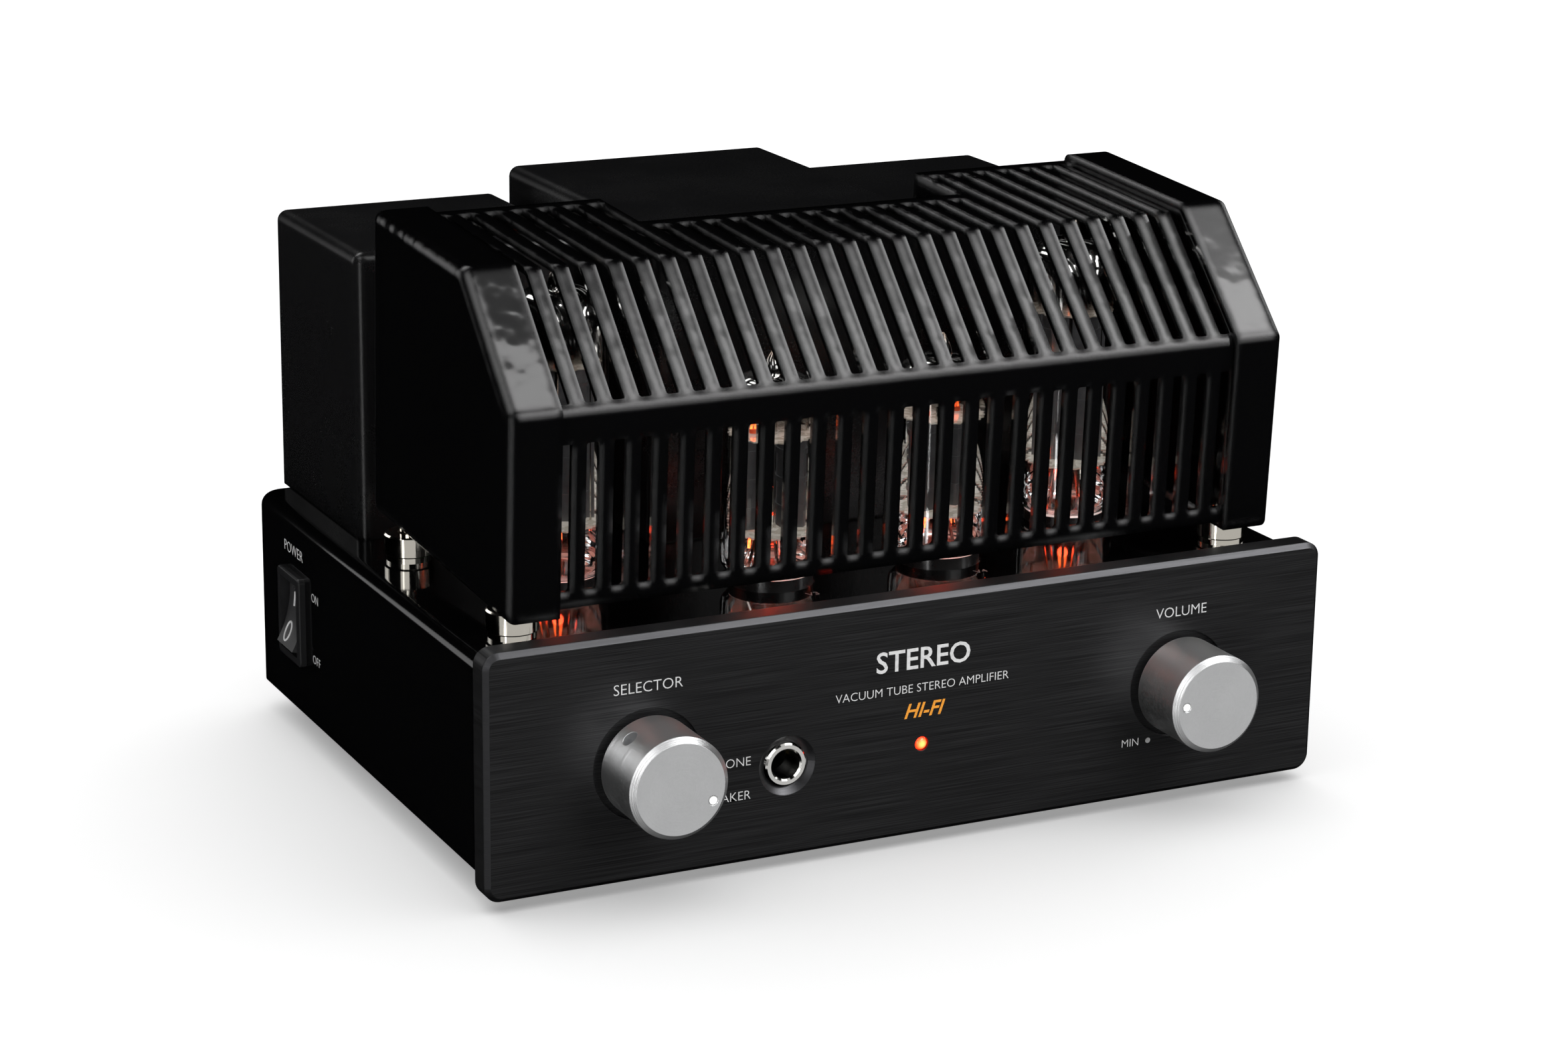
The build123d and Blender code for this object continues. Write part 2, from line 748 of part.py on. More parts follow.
def knob_body(centre_x, dot_angle, grub_angle):
    """Turned knob with a bevelled face, a marker dimple and a set screw hole."""
    back = front_face - knob_gap
    front = back - knob_length
    grub_y = back - grub_from_back
    with BuildPart() as knob:
        with BuildSketch(facing_front(back, centre_x, knob_z)):
            Circle(knob_diameter / 2)
        extrude(amount=knob_length)
        chamfer(knob.edges().filter_by(GeomType.CIRCLE).sort_by(Axis.Y)[0], knob_edge)
        chamfer(knob.edges().filter_by(GeomType.CIRCLE).sort_by(Axis.Y)[-1], 0.4)
        with BuildSketch(facing_front(back, centre_x, knob_z)):
            Circle(knob_skirt_bore / 2)
        extrude(amount=knob_skirt_depth, mode=Mode.SUBTRACT)
        with BuildSketch(facing_front(back, centre_x, knob_z)):
            Circle(shaft_diameter / 2)
        extrude(amount=knob_bore_depth, mode=Mode.SUBTRACT)
        dot_x = dot_circle * math.cos(math.radians(dot_angle))
        dot_z = dot_circle * math.sin(math.radians(dot_angle))
        with BuildSketch(facing_front(front, centre_x + dot_x, knob_z + dot_z)):
            Circle(dot_radius)
        extrude(amount=-0.6, taper=30, mode=Mode.SUBTRACT)
        turn = math.radians(grub_angle)
        outward = (math.cos(turn), 0, math.sin(turn))
        grub_plane = Plane(origin=(centre_x, grub_y, knob_z), x_dir=(0, 1, 0), z_dir=outward)
        with BuildSketch(grub_plane):
            Circle(grub_hole / 2)
        extrude(amount=knob_diameter, mode=Mode.SUBTRACT)
    return knob.part


def grub(centre_x, grub_angle):
    """Set screw with a hexagon socket, bearing on the shaft."""
    grub_y = front_face - knob_gap - grub_from_back
    turn = math.radians(grub_angle)
    outward = (math.cos(turn), 0, math.sin(turn))
    with BuildPart() as screw:
        low = shaft_diameter / 2
        start = (centre_x + outward[0] * low, grub_y, knob_z + outward[2] * low)
        with BuildSketch(Plane(origin=start, x_dir=(0, 1, 0), z_dir=outward)):
            Circle(grub_screw / 2)
        extrude(amount=4.6)
        high = low + 4.6
        end = (centre_x + outward[0] * high, grub_y, knob_z + outward[2] * high)
        with BuildSketch(Plane(origin=end, x_dir=(0, 1, 0), z_dir=outward)):
            RegularPolygon(0.9, 6, major_radius=False)
        extrude(amount=-2.0, mode=Mode.SUBTRACT)
    return screw.part


selector_grub_angle = 128.0
volume_grub_angle = 300.0
selector_knob = knob_body(-knob_offset, selector_dot_angle, selector_grub_angle)
selector_knob.label = "selector_knob"
export_step(selector_knob, "parts/selector_knob.step")
volume_knob = knob_body(knob_offset, volume_dot_angle, volume_grub_angle)
volume_knob.label = "volume_knob"
export_step(volume_knob, "parts/volume_knob.step")

selector_grub = grub(-knob_offset, selector_grub_angle)
selector_grub.label = "selector_grub_screw"
export_step(selector_grub, "parts/selector_grub_screw.step")
volume_grub = grub(knob_offset, volume_grub_angle)
volume_grub.label = "volume_grub_screw"
export_step(volume_grub, "parts/volume_grub_screw.step")


def control_shaft(centre_x):
    """Round shaft from inside the control to the bottom of the knob's bore."""
    tip = front_face - knob_gap - knob_bore_depth
    root = panel_back + sheet + 8.0
    with BuildPart() as shaft:
        with BuildSketch(facing_front(root, centre_x, knob_z)):
            Circle(shaft_diameter / 2)
        extrude(amount=root - tip)
        chamfer(shaft.edges().filter_by(GeomType.CIRCLE).sort_by(Axis.Y)[0], 0.4)
    return shaft.part


selector_shaft = control_shaft(-knob_offset)
selector_shaft.label = "selector_shaft"
export_step(selector_shaft, "parts/selector_shaft.step")
volume_shaft = control_shaft(knob_offset)
volume_shaft.label = "volume_shaft"
export_step(volume_shaft, "parts/volume_shaft.step")

# each control's body sits behind the front wall, its bushing comes through
bushing_front = front_face + recess_depth - nut_thick - 0.2
inner_wall = panel_back + sheet


bore_run = inner_wall + 8.4 - bushing_front

with BuildPart() as selector_switch:
    with BuildSketch(facing_front(inner_wall, -knob_offset, knob_z)):
        RectangleRounded(25.0, 25.0, 4.0)
    extrude(amount=-14.0)
    with BuildSketch(facing_front(inner_wall, -knob_offset, knob_z)):
        Circle(control_bushing / 2)
    extrude(amount=inner_wall - bushing_front)
    with BuildSketch(facing_front(bushing_front, -knob_offset, knob_z)):
        Circle(shaft_diameter / 2 + shaft_clearance)
    extrude(amount=-bore_run, mode=Mode.SUBTRACT)
selector_switch.part.label = "selector_switch"
export_step(selector_switch.part, "parts/selector_switch.step")

with BuildPart() as volume_pot:
    with BuildSketch(facing_front(inner_wall, knob_offset, knob_z)):
        Circle(12.5)
    extrude(amount=-18.0)
    with BuildSketch(facing_front(inner_wall, knob_offset, knob_z)):
        Circle(control_bushing / 2)
    extrude(amount=inner_wall - bushing_front)
    with BuildSketch(facing_front(bushing_front, knob_offset, knob_z)):
        Circle(shaft_diameter / 2 + shaft_clearance)
    extrude(amount=-bore_run, mode=Mode.SUBTRACT)
volume_pot.part.label = "volume_pot"
export_step(volume_pot.part, "parts/volume_pot.step")

# hexagon nuts hidden in the knobs' skirts
with BuildPart() as control_nuts:
    with BuildSketch(facing_front(front_face + recess_depth)):
        with Locations((-knob_offset, knob_z), (knob_offset, knob_z)):
            RegularPolygon(nut_flats / 2, 6, major_radius=False)
            Circle(control_bushing / 2, mode=Mode.SUBTRACT)
    extrude(amount=nut_thick)
control_nuts.part.label = "control_nuts"
export_step(control_nuts.part, "parts/control_nuts.step")

# headphone socket: plated barrel in front, moulded body behind
jack_front = front_face + 0.35
with BuildPart() as jack_bushing:
    with BuildSketch(facing_front(jack_front, jack_x, jack_z)):
        Circle(jack_barrel / 2)
    extrude(amount=-(inner_wall - jack_front))
    with BuildSketch(facing_front(jack_front, jack_x, jack_z)):
        Circle(jack_hole / 2)
    extrude(amount=-(inner_wall - jack_front), mode=Mode.SUBTRACT)
    chamfer(jack_bushing.edges().filter_by(GeomType.CIRCLE).group_by(Axis.Y)[0], 0.35)
jack_bushing.part.label = "headphone_bushing"
export_step(jack_bushing.part, "parts/headphone_bushing.step")

with BuildPart() as jack_body:
    with BuildSketch(facing_front(inner_wall, jack_x, jack_z)):
        RectangleRounded(16.0, 17.0, 1.5)
    extrude(amount=-26.0)
    with BuildSketch(facing_front(inner_wall, jack_x, jack_z)):
        Circle(jack_hole / 2 + 0.25)
    extrude(amount=-24.0, mode=Mode.SUBTRACT)
jack_body.part.label = "headphone_body"
export_step(jack_body.part, "parts/headphone_body.step")

with BuildPart() as jack_contacts:
    for reach, angle in ((5.0, 90.0), (11.0, 270.0), (22.0, 90.0)):
        swing = math.radians(angle)
        contact_z = jack_z + (jack_hole / 2 - 0.05) * math.sin(swing)
        with BuildSketch(facing_front(inner_wall + reach, jack_x, contact_z)):
            Rectangle(2.0, 0.5)
        extrude(amount=3.0)
jack_contacts.part.label = "headphone_contacts"
export_step(jack_contacts.part, "parts/headphone_contacts.step")

# power lamp with a domed front, held in a plastic sleeve
with BuildPart() as power_lamp:
    with BuildSketch(facing_front(front_face + 6.0, 0, lamp_z)):
        Circle(lamp_diameter / 2)
    extrude(amount=6.3)
    fillet(power_lamp.edges().filter_by(GeomType.CIRCLE).sort_by(Axis.Y)[0], 1.2)
power_lamp.part.label = "power_lamp"
export_step(power_lamp.part, "parts/power_lamp.step")

with BuildPart() as lamp_holder:
    with BuildSketch(facing_front(panel_back, 0, lamp_z)):
        Circle(lamp_diameter / 2 + 0.9)
    extrude(amount=-6.0)
lamp_holder.part.label = "lamp_holder"
export_step(lamp_holder.part, "parts/lamp_holder.step")

# power switch: framed body through the left side, rocker inside the frame
bezel_x = -chassis_side - bezel_proud
opening_width = rocker_width + 2 * rocker_gap
opening_length = rocker_length + 2 * rocker_gap
with BuildPart() as switch_frame:
    with BuildSketch(facing_side(-chassis_side, switch_y, switch_z)):
        RectangleRounded(bezel_width, bezel_length, 1.2)
    extrude(amount=-bezel_proud)
    fillet(switch_frame.faces().sort_by(Axis.X)[0].edges(), 0.5)
    with BuildSketch(facing_side(-chassis_side, switch_y, switch_z)):
        Rectangle(bezel_width - 2.4, bezel_length - 2.4)
    extrude(amount=switch_body_depth)
    with BuildSketch(facing_side(bezel_x, switch_y, switch_z)):
        Rectangle(opening_width, opening_length)
    extrude(amount=bezel_proud + 8.0, mode=Mode.SUBTRACT)
switch_frame.part.label = "switch_frame"
export_step(switch_frame.part, "parts/switch_frame.step")

# terminals behind the switch
with BuildPart() as switch_tabs:
    with BuildSketch(facing_side(-chassis_side + switch_body_depth, switch_y, switch_z)):
        with Locations((0, 5.0), (0, -5.0)):
            Rectangle(6.3, 0.8)
    extrude(amount=8.0)
switch_tabs.part.label = "switch_tabs"
export_step(switch_tabs.part, "parts/switch_tabs.step")

# rocker profile about its pivot: out is away from the chassis
pivot_x = -chassis_side + 2.2
lean = math.radians(rocker_throw)


def rocker_place(out, up):
    """Point of the tilted rocker profile in the object's X and Z."""
    x = -(out * math.cos(lean) - up * math.sin(lean))
    z = out * math.sin(lean) + up * math.cos(lean)
    return (pivot_x - (-x), switch_z + z)


half = rocker_length / 2 - 0.35
with BuildPart() as power_rocker:
    rocker_plane = Plane(origin=(0, switch_y - rocker_width / 2, 0), x_dir=(1, 0, 0), z_dir=(0, -1, 0))
    with BuildSketch(rocker_plane):
        with BuildLine():
            top_corner = rocker_place(3.3, half)
            bottom_corner = rocker_place(3.3, -half)
            dish = rocker_place(2.1, 0)
            ThreePointArc(top_corner, dish, bottom_corner)
            Line(bottom_corner, rocker_place(-0.6, -half))
            Line(rocker_place(-0.6, -half), rocker_place(-4.4, 0))
            Line(rocker_place(-4.4, 0), rocker_place(-0.6, half))
            Line(rocker_place(-0.6, half), top_corner)
        make_face()
    extrude(amount=-rocker_width)
power_rocker.part.label = "power_rocker"
export_step(power_rocker.part, "parts/power_rocker.step")

# speaker terminals: threaded stems through insulating collars
stem_diameter = 6.0
with BuildPart() as speaker_stems:
    with BuildSketch(facing_front(rear_face + post_reach - 1.0)):
        with Locations(*[(x, speaker_z) for x in speaker_xs]):
            Circle(stem_diameter / 2)
    extrude(amount=post_reach - 1.0 + rear_plate_thick + 12.0)
    with BuildSketch(facing_front(rear_face + post_reach - 1.0)):
        with Locations(*[(x, speaker_z) for x in speaker_xs]):
            Circle(banana_bore / 2)
    extrude(amount=banana_depth, mode=Mode.SUBTRACT)
speaker_stems.part.label = "speaker_stems"
export_step(speaker_stems.part, "parts/speaker_stems.step")

with BuildPart() as speaker_collars:
    with BuildSketch(facing_front(rear_face)):
        with Locations(*[(x, speaker_z) for x in speaker_xs]):
            Circle(5.6)
            Circle(stem_diameter / 2, mode=Mode.SUBTRACT)
    extrude(amount=-2.4)
    with BuildSketch(facing_front(chassis_rear)):
        with Locations(*[(x, speaker_z) for x in speaker_xs]):
            Circle(5.6)
            Circle(stem_diameter / 2, mode=Mode.SUBTRACT)
    extrude(amount=2.4)
    with BuildSketch(facing_front(rear_face)):
        with Locations(*[(x, speaker_z) for x in speaker_xs]):
            Circle(4.1)
            Circle(stem_diameter / 2, mode=Mode.SUBTRACT)
    extrude(amount=rear_plate_thick)
speaker_collars.part.label = "speaker_collars"
export_step(speaker_collars.part, "parts/speaker_collars.step")


def speaker_cap(x):
    """Fluted clamp cap that screws along a terminal's stem."""
    near = rear_face + 2.7
    far = rear_face + post_reach
    with BuildPart() as cap:
        with BuildSketch(facing_front(far, x, speaker_z)):
            Circle(speaker_cap_diameter / 2)
            with PolarLocations(speaker_cap_diameter / 2 + 0.45, 12):
                Circle(0.8, mode=Mode.SUBTRACT)
        extrude(amount=far - near)
        with BuildSketch(facing_front(far, x, speaker_z)):
            Circle(stem_diameter / 2 + speaker_cap_gap)
        extrude(amount=far - near, mode=Mode.SUBTRACT)
    return cap.part


for index, x in enumerate(speaker_xs):
    cap_name = "speaker_cap_" + str(index + 1)
    cap_part = speaker_cap(x)
    cap_part.label = cap_name
    export_step(cap_part, "parts/" + cap_name + ".step")

# phono sockets in two rows: plated shells round insulated centres
with BuildPart() as phono_shells:
    with BuildSketch(facing_front(rear_face)):
        with Locations((phono_x, speaker_z)):
            with GridLocations(phono_pitch_x, phono_pitch_z, 2, 2):
                Circle(6.2)
                Circle(3.9, mode=Mode.SUBTRACT)
    extrude(amount=-1.5)
    with BuildSketch(facing_front(rear_face + 1.5)):
        with Locations((phono_x, speaker_z)):
            with GridLocations(phono_pitch_x, phono_pitch_z, 2, 2):
                Circle(phono_shell / 2)
                Circle(3.3, mode=Mode.SUBTRACT)
    extrude(amount=-(phono_reach - 1.5))
phono_shells.part.label = "phono_shells"
export_step(phono_shells.part, "parts/phono_shells.step")

with BuildPart() as phono_centres:
    with BuildSketch(facing_front(rear_face + phono_reach - 1.0)):
        with Locations((phono_x, speaker_z)):
            with GridLocations(phono_pitch_x, phono_pitch_z, 2, 2):
                Circle(3.3)
                Circle(1.6, mode=Mode.SUBTRACT)
    extrude(amount=phono_reach - 1.0 - 1.5)
    with BuildSketch(facing_front(rear_face + 1.5)):
        with Locations((phono_x, speaker_z)):
            with GridLocations(phono_pitch_x, phono_pitch_z, 2, 2):
                Circle(3.9)
                Circle(1.6, mode=Mode.SUBTRACT)
    extrude(amount=rear_plate_thick + 6.0)
phono_centres.part.label = "phono_centres"
export_step(phono_centres.part, "parts/phono_centres.step")

# mains inlet with a fuse drawer below its socket
inlet_z = (chassis_base + deck_top) / 2
socket_z = inlet_z + 6.0
drawer_z = inlet_z - 11.6
with BuildPart() as mains_inlet:
    with BuildSketch(facing_front(rear_face, inlet_x, inlet_z)):
        RectangleRounded(inlet_width, inlet_height, 2.0)
    extrude(amount=-inlet_reach)
    fillet(mains_inlet.faces().sort_by(Axis.Y)[-1].edges(), 0.8)
    with BuildSketch(facing_front(rear_face, inlet_x, inlet_z)):
        Rectangle(inlet_width - 3.4, inlet_height - 3.4)
    extrude(amount=20.0)
    with BuildSketch(facing_front(rear_face + inlet_reach, inlet_x, socket_z)):
        with BuildLine():
            wide = socket_open_width / 2
            high = socket_open_height / 2
            Polyline(
                (-wide, -high), (wide, -high), (wide, high - 4.5), (wide - 4.5, high),
                (-wide + 4.5, high), (-wide, high - 4.5), close=True,
            )
        make_face()
    extrude(amount=socket_open_depth, mode=Mode.SUBTRACT)
    with BuildSketch(facing_front(rear_face + inlet_reach, inlet_x, drawer_z)):
        Rectangle(drawer_width + 2 * drawer_gap, drawer_height + 2 * drawer_gap)
    extrude(amount=drawer_depth + drawer_gap, mode=Mode.SUBTRACT)
mains_inlet.part.label = "mains_inlet"
export_step(mains_inlet.part, "parts/mains_inlet.step")

with BuildPart() as inlet_pins:
    with BuildSketch(facing_front(rear_face + inlet_reach - 1.5, inlet_x, socket_z)):
        with Locations((-7.0, -1.6), (7.0, -1.6), (0, 2.4)):
            Rectangle(2.0, 4.0)
    extrude(amount=29.0)
inlet_pins.part.label = "inlet_pins"
export_step(inlet_pins.part, "parts/inlet_pins.step")

with BuildPart() as fuse_drawer:
    with BuildSketch(facing_front(rear_face + inlet_reach, inlet_x, drawer_z)):
        Rectangle(drawer_width, drawer_height)
    extrude(amount=drawer_depth)
    with BuildSketch(Plane.XY.offset(drawer_z + drawer_height / 2)):
        with Locations((inlet_x, rear_face + inlet_reach - 11.5)):
            Rectangle(20.4, 6.0)
    extrude(amount=-5.8, mode=Mode.SUBTRACT)
    with BuildSketch(facing_front(rear_face + inlet_reach, inlet_x, drawer_z + 1.6)):
        Rectangle(8.0, 2.0)
    extrude(amount=1.2, mode=Mode.SUBTRACT)
fuse_drawer.part.label = "fuse_drawer"
export_step(fuse_drawer.part, "parts/fuse_drawer.step")

with BuildPart() as mains_fuse:
    fuse_y = rear_face + inlet_reach - 11.5
    with BuildSketch(facing_side(inlet_x - 10.0, fuse_y, drawer_z + drawer_height / 2 - 3.0)):
        Circle(2.6)
    extrude(amount=20.0)
mains_fuse.part.label = "mains_fuse"
export_step(mains_fuse.part, "parts/mains_fuse.step")

# rubber feet with a recessed screw
foot_spots = []
for side in (-1, 1):
    foot_spots.append((side * (chassis_side - foot_inset), panel_back + foot_inset))
    foot_spots.append((side * (chassis_side - foot_inset), chassis_rear - foot_inset))
with BuildPart() as rubber_feet:
    with BuildSketch():
        with Locations(*foot_spots):
            Circle(foot_diameter / 2 - 1.2)
    extrude(amount=chassis_base, taper=-9)
    with BuildSketch():
        with Locations(*foot_spots):
            Circle(screw_head / 2 + 0.4)
    extrude(amount=3.6, mode=Mode.SUBTRACT)
    with BuildSketch():
        with Locations(*foot_spots):
            Circle(screw_diameter / 2)
    extrude(amount=chassis_base, mode=Mode.SUBTRACT)
rubber_feet.part.label = "rubber_feet"
export_step(rubber_feet.part, "parts/rubber_feet.step")

with BuildPart() as foot_screws:
    with BuildSketch(Plane.XY.offset(1.8)):
        with Locations(*foot_spots):
            Circle(screw_head / 2)
    extrude(amount=1.8)
    with BuildSketch(Plane.XY.offset(3.6)):
        with Locations(*foot_spots):
            Circle(screw_diameter / 2)
    extrude(amount=chassis_base - 3.6)
foot_screws.part.label = "foot_screws"
export_step(foot_screws.part, "parts/foot_screws.step")

# circuit board on pillars, with its filter capacitors
board_low = board_height
board_middle = (panel_back + chassis_rear) / 2
with BuildPart() as circuit_board:
    with BuildSketch(Plane.XY.offset(board_low)):
        with Locations((0, board_middle)):
            RectangleRounded(board_length, board_width, 2.0)
    extrude(amount=board_thick)
circuit_board.part.label = "circuit_board"
export_step(circuit_board.part, "parts/circuit_board.step")

with BuildPart() as board_pillars:
    with BuildSketch(Plane.XY.offset(chassis_base + sheet)):
        with Locations((0, board_middle)):
            with GridLocations(board_length - 10.0, board_width - 10.0, 2, 2):
                RegularPolygon(2.75, 6, major_radius=False)
    extrude(amount=board_low - chassis_base - sheet)
board_pillars.part.label = "board_pillars"
export_step(board_pillars.part, "parts/board_pillars.step")

with BuildPart() as filter_capacitors:
    with BuildSketch(Plane.XY.offset(board_low + board_thick)):
        with Locations((0, board_middle + 14.0)):
            with GridLocations(24.0, 24.0, 3, 2):
                Circle(9.0)
    extrude(amount=24.0)
    fillet(filter_capacitors.faces().sort_by(Axis.Z)[-1].edges(), 1.0)
filter_capacitors.part.label = "filter_capacitors"
export_step(filter_capacitors.part, "parts/filter_capacitors.step")

# pan head screws in the bottom plate and round the rear plate
bottom_screw_spots = []
for side in (-1, 1):
    for setback in (14.0, 65.0, 116.0):
        bottom_screw_spots.append((side * (chassis_side - 8.0), panel_back + setback))
with BuildPart() as bottom_screws:
    with BuildSketch(Plane.XY.offset(chassis_base)):
        with Locations(*bottom_screw_spots):
            Circle(screw_head / 2)
    extrude(amount=-1.8)
    fillet(bottom_screws.faces().sort_by(Axis.Z)[0].edges(), 0.8)
bottom_screws.part.label = "bottom_screws"
export_step(bottom_screws.part, "parts/bottom_screws.step")

with BuildPart() as rear_screws:
    with BuildSketch(facing_front(rear_face)):
        with Locations((0, (chassis_base + deck_top) / 2)):
            with GridLocations(rear_plate_width - 8.0, rear_plate_height - 8.0, 2, 2):
                Circle(screw_head / 2)
    extrude(amount=-1.8)
    fillet(rear_screws.faces().sort_by(Axis.Y)[-1].edges(), 0.8)
rear_screws.part.label = "rear_screws"
export_step(rear_screws.part, "parts/rear_screws.step")
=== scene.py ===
import math
import random

import bmesh
import bpy
from mathutils import Matrix, Vector


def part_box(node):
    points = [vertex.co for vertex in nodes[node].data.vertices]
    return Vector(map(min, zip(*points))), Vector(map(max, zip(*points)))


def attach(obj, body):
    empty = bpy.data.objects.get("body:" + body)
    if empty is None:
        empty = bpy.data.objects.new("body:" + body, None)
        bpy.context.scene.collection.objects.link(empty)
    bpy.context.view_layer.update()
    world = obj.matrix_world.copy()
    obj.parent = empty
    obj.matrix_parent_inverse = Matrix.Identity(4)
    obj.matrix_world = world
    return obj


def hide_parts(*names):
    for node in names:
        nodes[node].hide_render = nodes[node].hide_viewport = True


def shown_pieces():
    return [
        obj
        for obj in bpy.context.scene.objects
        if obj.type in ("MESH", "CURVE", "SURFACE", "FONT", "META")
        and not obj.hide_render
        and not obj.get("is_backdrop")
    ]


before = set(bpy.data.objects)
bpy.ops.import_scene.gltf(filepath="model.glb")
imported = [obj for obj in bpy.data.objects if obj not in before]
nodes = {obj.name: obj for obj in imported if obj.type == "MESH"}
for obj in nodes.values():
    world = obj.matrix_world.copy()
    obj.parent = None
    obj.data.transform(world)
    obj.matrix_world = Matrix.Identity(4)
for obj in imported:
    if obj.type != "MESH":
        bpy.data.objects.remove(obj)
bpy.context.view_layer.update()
random.seed(7)
print("frame loaded,", len(nodes), "nodes")


def middleOf(name):
    low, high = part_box(name)
    return (low + high) / 2


class Wire:
    # an output socket that takes part in plain Python sums
    def __init__(self, finish, socket):
        self.finish = finish
        self.socket = socket

    def sum(self, operation, first, second):
        return self.finish.add("ShaderNodeMath", {"operation": operation}, {0: first, 1: second})

    def __add__(self, other):
        return self.sum("ADD", self, other)

    def __rsub__(self, other):
        return self.sum("SUBTRACT", other, self)

    def __mul__(self, other):
        return self.sum("MULTIPLY", self, other)


class Finish:
    # one material: constants go straight on the shader, the rest is wired
    def __init__(self, name, constants):
        self.material = bpy.data.materials.new(name)
        self.material.use_nodes = True
        self.tree = self.material.node_tree
        self.shader = self.tree.nodes["Principled BSDF"]
        for key, value in constants.items():
            self.shader.inputs[key].default_value = value

    def put(self, value, socket):
        if isinstance(value, Wire):
            self.tree.links.new(value.socket, socket)
        else:
            socket.default_value = value

    def add(self, kind, settings, inputs, output=0):
        made = self.tree.nodes.new(kind)
        for key, value in settings.items():
            if key == "stops":
                ramp = made.color_ramp
                ramp.elements[0].position, ramp.elements[0].color = value[0]
                ramp.elements[1].position, ramp.elements[1].color = value[-1]
                for place, colour in value[1:-1]:
                    ramp.elements.new(place).color = colour
            else:
                setattr(made, key, value)
        for key, value in inputs.items():
            self.put(value, made.inputs[key])
        return Wire(self, made.outputs[output])

    def feed(self, **inputs):
        for key, value in inputs.items():
            self.put(value, self.shader.inputs[key.replace("_", " ")])

    def place(self):
        return self.add("ShaderNodeTexCoord", {}, {}, "Object")

    def stretched(self, scale):
        return self.add("ShaderNodeMapping", {}, {"Vector": self.place(), "Scale": scale})

    def noise(self, vector, scale, detail=3.0, roughness=0.5):
        sockets = {"Vector": vector, "Scale": scale, "Detail": detail, "Roughness": roughness}
        return self.add("ShaderNodeTexNoise", {}, sockets)

    def axis(self, name, vector=None):
        return self.add("ShaderNodeSeparateXYZ", {}, {"Vector": vector or self.place()}, name)

    def facing(self, name):
        # one part of the true face normal: which way the surface looks
        return self.axis(name, self.add("ShaderNodeNewGeometry", {}, {}, "True Normal"))

    def fromCentre(self, centre):
        # offset from a point, and the distance from the Y axis through it
        offset = self.add("ShaderNodeVectorMath", {"operation": "SUBTRACT"}, {0: self.place(), 1: centre})
        flat = self.add("ShaderNodeVectorMath", {"operation": "MULTIPLY"}, {0: offset, 1: (1, 0, 1)})
        return offset, self.add("ShaderNodeVectorMath", {"operation": "LENGTH"}, {0: flat}, 1)

    def between(self, value, low, high, start=0.0, end=1.0):
        sockets = {"Value": value, "From Min": low, "From Max": high, "To Min": start, "To Max": end}
        return self.add("ShaderNodeMapRange", {"interpolation_type": "SMOOTHSTEP"}, sockets)

    def blend(self, factor, first, second):
        sockets = {0: factor, 6: first, 7: second}
        return self.add("ShaderNodeMix", {"data_type": "RGBA"}, sockets, 2)

    def bump(self, height, strength, distance, under=None):
        sockets = {"Height": height, "Strength": strength, "Distance": distance}
        if under:
            sockets["Normal"] = under
        return self.add("ShaderNodeBump", {}, sockets)

    def softEdge(self, radius):
        # normal that rounds the sharp edges by a little paint or wear
        return self.add("ShaderNodeBevel", {"samples": 6}, {"Radius": radius})


blackPaint = {
    "colour": (0.0022, 0.0022, 0.0024, 1),
    "roughness": 0.045,
    "peelSize": 210.0,  # waves per metre
    "peelDepth": 0.00012,
}


def glossBlack(name, peel, edge):
    # sprayed gloss black, rounded over every edge, with orange peel
    finish = Finish(name, {"Base Color": blackPaint["colour"], "Specular IOR Level": 0.55})
    place = finish.place()
    waves = finish.noise(place, blackPaint["peelSize"], 1.0, 0.3)
    swell = finish.noise(place, blackPaint["peelSize"] * 0.3, 1.0, 0.3)
    cloud = finish.noise(place, 24.0, 2.0)
    low = blackPaint["roughness"]
    finish.feed(
        Roughness=finish.between(cloud, 0.3, 0.75, low, low + 0.03),
        Normal=finish.bump(
            waves + swell * 2.2, 0.25 * peel, blackPaint["peelDepth"] * peel, finish.softEdge(edge)
        ),
    )
    return finish.material


def satinBlack(name):
    # fine powder coat: tiny even grain that softens the light
    finish = Finish(name, {"Specular IOR Level": 0.5})
    place = finish.place()
    grain = finish.noise(place, 2600.0, 2.0)
    cloud = finish.noise(place, 40.0, 3.0)
    shade = finish.between(grain, 0.35, 0.7)
    base = finish.blend(shade, (0.0055, 0.0055, 0.0058, 1), (0.0110, 0.0110, 0.0116, 1))
    finish.feed(
        Base_Color=base,
        Roughness=finish.between(cloud, 0.3, 0.7, 0.20, 0.26) + grain * 0.05,
        Normal=finish.bump(grain, 0.30, 0.00005, finish.softEdge(0.0010)),
    )
    return finish.material


def brushedBlack(name):
    # black anodised aluminium, brushed along its length, with bright-cut bevels
    finish = Finish(name, {"Specular IOR Level": 0.45})
    hairs = finish.noise(finish.stretched((36.0, 1.0, 6400.0)), 1.0, 3.0, 0.6)
    broad = finish.noise(finish.stretched((6.0, 1.0, 700.0)), 1.0, 2.0)
    grain = hairs * 0.94 + broad * 0.06
    base = finish.blend(finish.between(grain, 0.35, 0.7), (0.022, 0.022, 0.023, 1), (0.062, 0.062, 0.064, 1))
    sideways = finish.facing("Y") * -1.0
    bevel = finish.between(sideways, 0.12, 0.2) * (1.0 - finish.between(sideways, 0.93, 0.985))
    finish.feed(
        Base_Color=finish.blend(bevel, base, (0.095, 0.095, 0.10, 1)),
        Metallic=finish.between(grain, 0.2, 0.8, 0.55, 0.75) + bevel * 0.3,
        Roughness=finish.between(grain, 0.35, 0.7, 0.34, 0.46),
        Normal=finish.bump(grain, 0.22, 0.00006, finish.softEdge(0.0003)),
    )
    return finish.material


